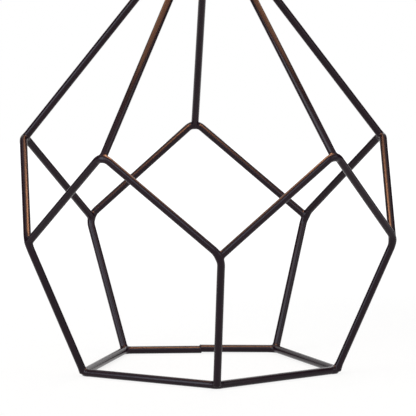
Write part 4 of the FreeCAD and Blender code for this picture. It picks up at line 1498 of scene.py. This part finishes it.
    def seam(self) -> Piece:
        """Folded lap where the cloth's two ends meet at the back, thinner along its edges.

        Returns:
            The lap.
        """
        low = self.bottom + self.tape_width + self.seam_margin
        high = self.top - self.tape_width - self.seam_margin
        rings = []
        for i in range(self.rows + 1):
            height = low + (high - low) * i / self.rows
            outer, inner = [], []
            for j in range(self.strips + 1):
                across = self.seam_width * (j / self.strips - 0.5)
                angle = math.radians(self.seam_angle) + across / self.radius(height)
                foot = self.radius(height) + self.slack(angle, height) + self.seam_gap
                fold = min(1.0, self.seam_rise * min(j, self.strips - j) / self.strips + self.seam_edge)
                outer.append(polar(foot + self.seam_thickness * fold, math.degrees(angle), height))
                inner.append(polar(foot, math.degrees(angle), height))
            rings.append(outer + inner[::-1])
        sketch = MeshSketch()
        sketch.loft(rings, closed=False)
        return sketch.build("shade_seam", Body.SHADE, Slot.LINEN)

    def spider_welds(self) -> Piece:
        """Small beads where the spider's arms meet the hub and the top hoop.

        Returns:
            The beads.
        """
        weld, wire = self.arm_weld, self.hoop_wire
        hoop_radius, hoop_height = self.top_hoop
        welds = MeshSketch()
        for k in range(ARMS):
            angle = self.first_arm + 360 / ARMS * k
            outward = polar(1.0, angle, 0.0)
            corner = polar(hoop_radius - self.arm_reach, angle, self.hub_middle)
            rim = polar(hoop_radius, angle, hoop_height)
            hub = polar(self.hub_radius, angle, self.hub_middle)
            rise = (rim - corner).normalized()
            turns = [self.hoop_turn * i for i in range(-self.hoop_steps, self.hoop_steps + 1)]
            hoop = [polar(hoop_radius, angle + turn, hoop_height) for turn in turns]
            limbs = MeshSketch()
            weld.limb(limbs, hoop, wire, rim)
            weld.limb(limbs, [rim, rim - rise * weld.reach], wire, rim)
            weld.melt(welds, limbs, [rim])
            limbs = MeshSketch()
            run = [hub - outward * self.hub_sink, hub + outward * weld.reach]
            weld.limb(limbs, run, wire, hub, self.hub_fat)
            weld.melt(welds, limbs, [hub])
        return welds.build("spider_welds", Body.SHADE, Slot.WIRE)


# Stage


class LampShape(Enum):
    """Shapes of a studio lamp."""

    RECTANGLE = "RECTANGLE"
    DISC = "DISK"


@dataclass(frozen=True)
class StudioLamp:
    """An area lamp that the camera doesn't see, and that faces straight down without an aim.

    At a radiance of 1 it is as bright as the white surroundings.
    """

    name: str
    place: Point
    size: tuple[float, float]
    radiance: float
    colour: Colour
    gloss_only: bool = False
    aim: Optional[Point] = None
    shape: LampShape = LampShape.RECTANGLE

    def hang(self) -> Piece:
        """Hangs the lamp.

        Returns:
            The lamp.
        """
        light = bpy.data.lights.new(self.name, "AREA")
        light.shape = self.shape.value
        light.size, light.size_y = self.size
        fullness = math.pi / 4 if self.shape is LampShape.DISC else 1.0
        light.energy = self.radiance * math.pi * self.size[0] * self.size[1] * fullness
        light.color = self.colour
        lamp = bpy.data.objects.new(self.name, light)
        lamp.location = self.place
        if self.aim is not None:
            lamp.rotation_mode = "QUATERNION"
            lamp.rotation_quaternion = (Vector(self.aim) - Vector(self.place)).to_track_quat("-Z", "Y")
        lamp.visible_camera = False
        lamp.visible_diffuse = not self.gloss_only
        bpy.context.scene.collection.objects.link(lamp)
        return lamp


@dataclass
class Studio:
    """Pale floor, soft light and the camera."""

    DAY: ClassVar[Colour] = (0.96, 0.98, 1.0)
    PALE_DAY: ClassVar[Colour] = (0.97, 0.98, 1.0)
    COOL: ClassVar[Colour] = (0.76, 0.84, 1.0)
    WARM: ClassVar[Colour] = (1.0, 0.47, 0.23)

    middle: Point = (0, 0, 0.22)
    aim_height: float = 0.10969
    aim_side: float = 0.00033
    distance: float = 2.8
    azimuth: float = -3.99
    elevation: float = 6.43
    lens: float = 358.7
    sensor: float = 36.0
    far_limit: float = 200.0
    floor_radius: float = 1.6
    floor_matte: float = 0.8
    floor_white: float = 0.80
    shadow_share: float = 0.22
    bright_span: tuple[float, float] = (0.3, 1.0)
    card_span: tuple[tuple[float, float], tuple[float, float]] = ((1.6, -0.2), (1.05, 1.4))
    card_heights: tuple[float, float] = (0.02, 1.6)
    card_dark: float = 0.03
    white: float = 1.0
    ambient: float = 0.62

    def build(self, wires: Sequence[Piece]) -> None:
        """Sets up the floor, the world, the lamps, the cards and the camera.

        Args:
            wires: the pieces of the wire base, which mirror the lit shade.
        """
        self.floor()
        self.world()
        self.soft_lamps()
        self.warm_lamps(wires)
        for side in (-1, 1):
            self.dark_card(side)
        self.camera()
        bpy.context.scene.view_settings.view_transform = "Standard"

    def soft_lamps(self) -> None:
        """Three soft lamps round the object, and two cool cards that only gloss mirrors."""
        for name, place, size, radiance, colour, gloss_only in (
            ("key", (-1.7, -1.5, 1.7), (1.5, 1.5), 3.6, self.DAY, False),
            ("fill", (1.9, -1.3, 1.1), (1.4, 1.4), 1.6, self.DAY, False),
            ("back", (0.5, 1.9, 1.5), (1.4, 1.4), 1.6, self.PALE_DAY, False),
            ("front_card", (-0.3, -1.9, 1.4), (1.4, 0.9), 4.4, self.COOL, True),
            ("left_card", (-1.83, -1.1, 0.63), (1.1, 1.3), 5.0, self.COOL, True),
        ):
            StudioLamp(name, place, size, radiance, colour, gloss_only, self.middle).hang()

    def warm_lamps(self, wires: Sequence[Piece]) -> None:
        """Warm light from inside the shade that only the gloss of the wire base mirrors.

        Args:
            wires: the pieces of the wire base.
        """
        mirrors = bpy.data.collections.new("warm_mirrors")
        for piece in wires:
            mirrors.objects.link(piece)
        for name, height, radius, radiance in (
            ("lining_glow", 0.338, 0.15, 6.0),
            ("bulb_glow", 0.34, 0.066, 25.0),
        ):
            span = (radius * 2, radius * 2)
            disc = StudioLamp(name, (0, 0, height), span, radiance, self.WARM, True, shape=LampShape.DISC)
            disc.hang().light_linking.receiver_collection = mirrors

    @staticmethod
    def seen_ray(build: NodeBuilder) -> Socket:
        """1 for rays that the camera, a gloss or a glass sees, and 0 for light that falls on the lamp.

        Args:
            build: the tree that takes the nodes.

        Returns:
            The factor's socket.
        """
        path = build.add("ShaderNodeLightPath").outputs
        seen = build.math("MAXIMUM", path["Is Camera Ray"], path["Is Glossy Ray"])
        return build.math("MAXIMUM", seen, path["Is Transmission Ray"])

    @staticmethod
    def flat_sheet(name: str, outline: Sequence[Vector], surface: Surface) -> Piece:
        """One flat face of the stage.

        Args:
            name: its name.
            outline: its corners.
            surface: its material.

        Returns:
            The sheet.
        """
        mesh = bpy.data.meshes.new(name)
        mesh.from_pydata(outline, [], [tuple(range(len(outline)))])
        mesh.materials.append(surface.material)
        sheet = bpy.data.objects.new(name, mesh)
        bpy.context.scene.collection.objects.link(sheet)
        return sheet

    def floor(self) -> None:
        """Round pale floor that looks white, keeps a faint shadow round the lamp and is clear from below."""
        surface = Surface("floor_white")
        surface.tree.nodes.clear()
        away = surface.add("ShaderNodeVectorMath", {"operation": "LENGTH"}, (surface.place(),))
        rise = surface.smooth(away.outputs["Value"], *self.bright_span)
        level = surface.plus(surface.times(rise, self.white - self.floor_white), self.floor_white)
        matte = surface.add("ShaderNodeBsdfDiffuse", Color=(self.floor_matte,) * 3).outputs[0]
        shadow = surface.add("ShaderNodeBsdfDiffuse", Color=(self.shadow_share,) * 3).outputs[0]
        white = surface.add("ShaderNodeEmission", Color=WHITE, Strength=level).outputs[0]
        shown = surface.add("ShaderNodeAddShader", None, (white, shadow)).outputs[0]
        mixed = surface.add("ShaderNodeMixShader", None, (self.seen_ray(surface), matte, shown)).outputs[0]
        seen = surface.add("ShaderNodeLightPath").outputs["Is Camera Ray"]
        under = surface.times(seen, surface.add("ShaderNodeNewGeometry").outputs["Backfacing"])
        clear = surface.add("ShaderNodeBsdfTransparent").outputs[0]
        sided = surface.add("ShaderNodeMixShader", None, (under, mixed, clear))
        surface.add("ShaderNodeOutputMaterial", Surface=sided.outputs[0])
        steps = 96
        rim = [polar(self.floor_radius, 360 * i / steps, 0.0) for i in range(steps)]
        self.flat_sheet("floor", rim, surface)

    def world(self) -> None:
        """White surroundings for the camera and for gloss, and a softer level as light."""
        world = bpy.data.worlds.new("studio")
        world.use_nodes = True
        bpy.context.scene.world = world
        build = NodeBuilder(world.node_tree)
        level = build.math("MULTIPLY_ADD", self.seen_ray(build), self.white - self.ambient, self.ambient)
        build.fill(world.node_tree.nodes["Background"], {"Color": WHITE, "Strength": level})

    def dark_card(self, side: int) -> None:
        """Upright dark card beside the lamp that only gloss mirrors.

        Args:
            side: -1 on the left, 1 on the right.
        """
        (near_across, near), (far_across, far) = self.card_span
        low, high = self.card_heights
        outline = [
            Vector((side * near_across, near, low)), Vector((side * far_across, far, low)),
            Vector((side * far_across, far, high)), Vector((side * near_across, near, high)),
        ]
        surface = Surface("dark_card")
        surface.set(Base_Color=(self.card_dark,) * 3, Roughness=1.0)
        card = self.flat_sheet("dark_card", outline, surface)
        for ray in ("camera", "diffuse", "transmission", "shadow"):
            setattr(card, f"visible_{ray}", False)

    def camera(self) -> None:
        """Camera at the photograph's angle."""
        azimuth, elevation = math.radians(self.azimuth), math.radians(self.elevation)
        level = math.cos(elevation)
        back = Vector((math.sin(azimuth) * level, -math.cos(azimuth) * level, math.sin(elevation)))
        right = Vector((math.cos(azimuth), math.sin(azimuth), 0))
        data = bpy.data.cameras.new("camera")
        data.lens = self.lens
        data.sensor_width = self.sensor
        data.clip_end = self.far_limit
        camera = bpy.data.objects.new("camera", data)
        camera.location = UP * self.aim_height + right * self.aim_side + back * self.distance
        camera.rotation_euler = (math.pi / 2 - elevation, 0, azimuth)
        bpy.context.scene.collection.objects.link(camera)
        bpy.context.scene.camera = camera


def main() -> None:
    """Builds the lamp and its stage."""
    logging.basicConfig(level=logging.INFO, format="%(message)s")
    palette = Palette()
    wires = WireBase().build(palette)
    pieces = wires[:]
    for assembly in (PipeStack(), Harp(), TurnKnobSocket(), Bulb(), DrumShade()):
        pieces += assembly.build(palette)
    for piece in pieces:
        log.info("%s: %d faces", piece.name, len(piece.data.polygons))
    Studio().build(wires)


if __name__ == "__main__":
    main()
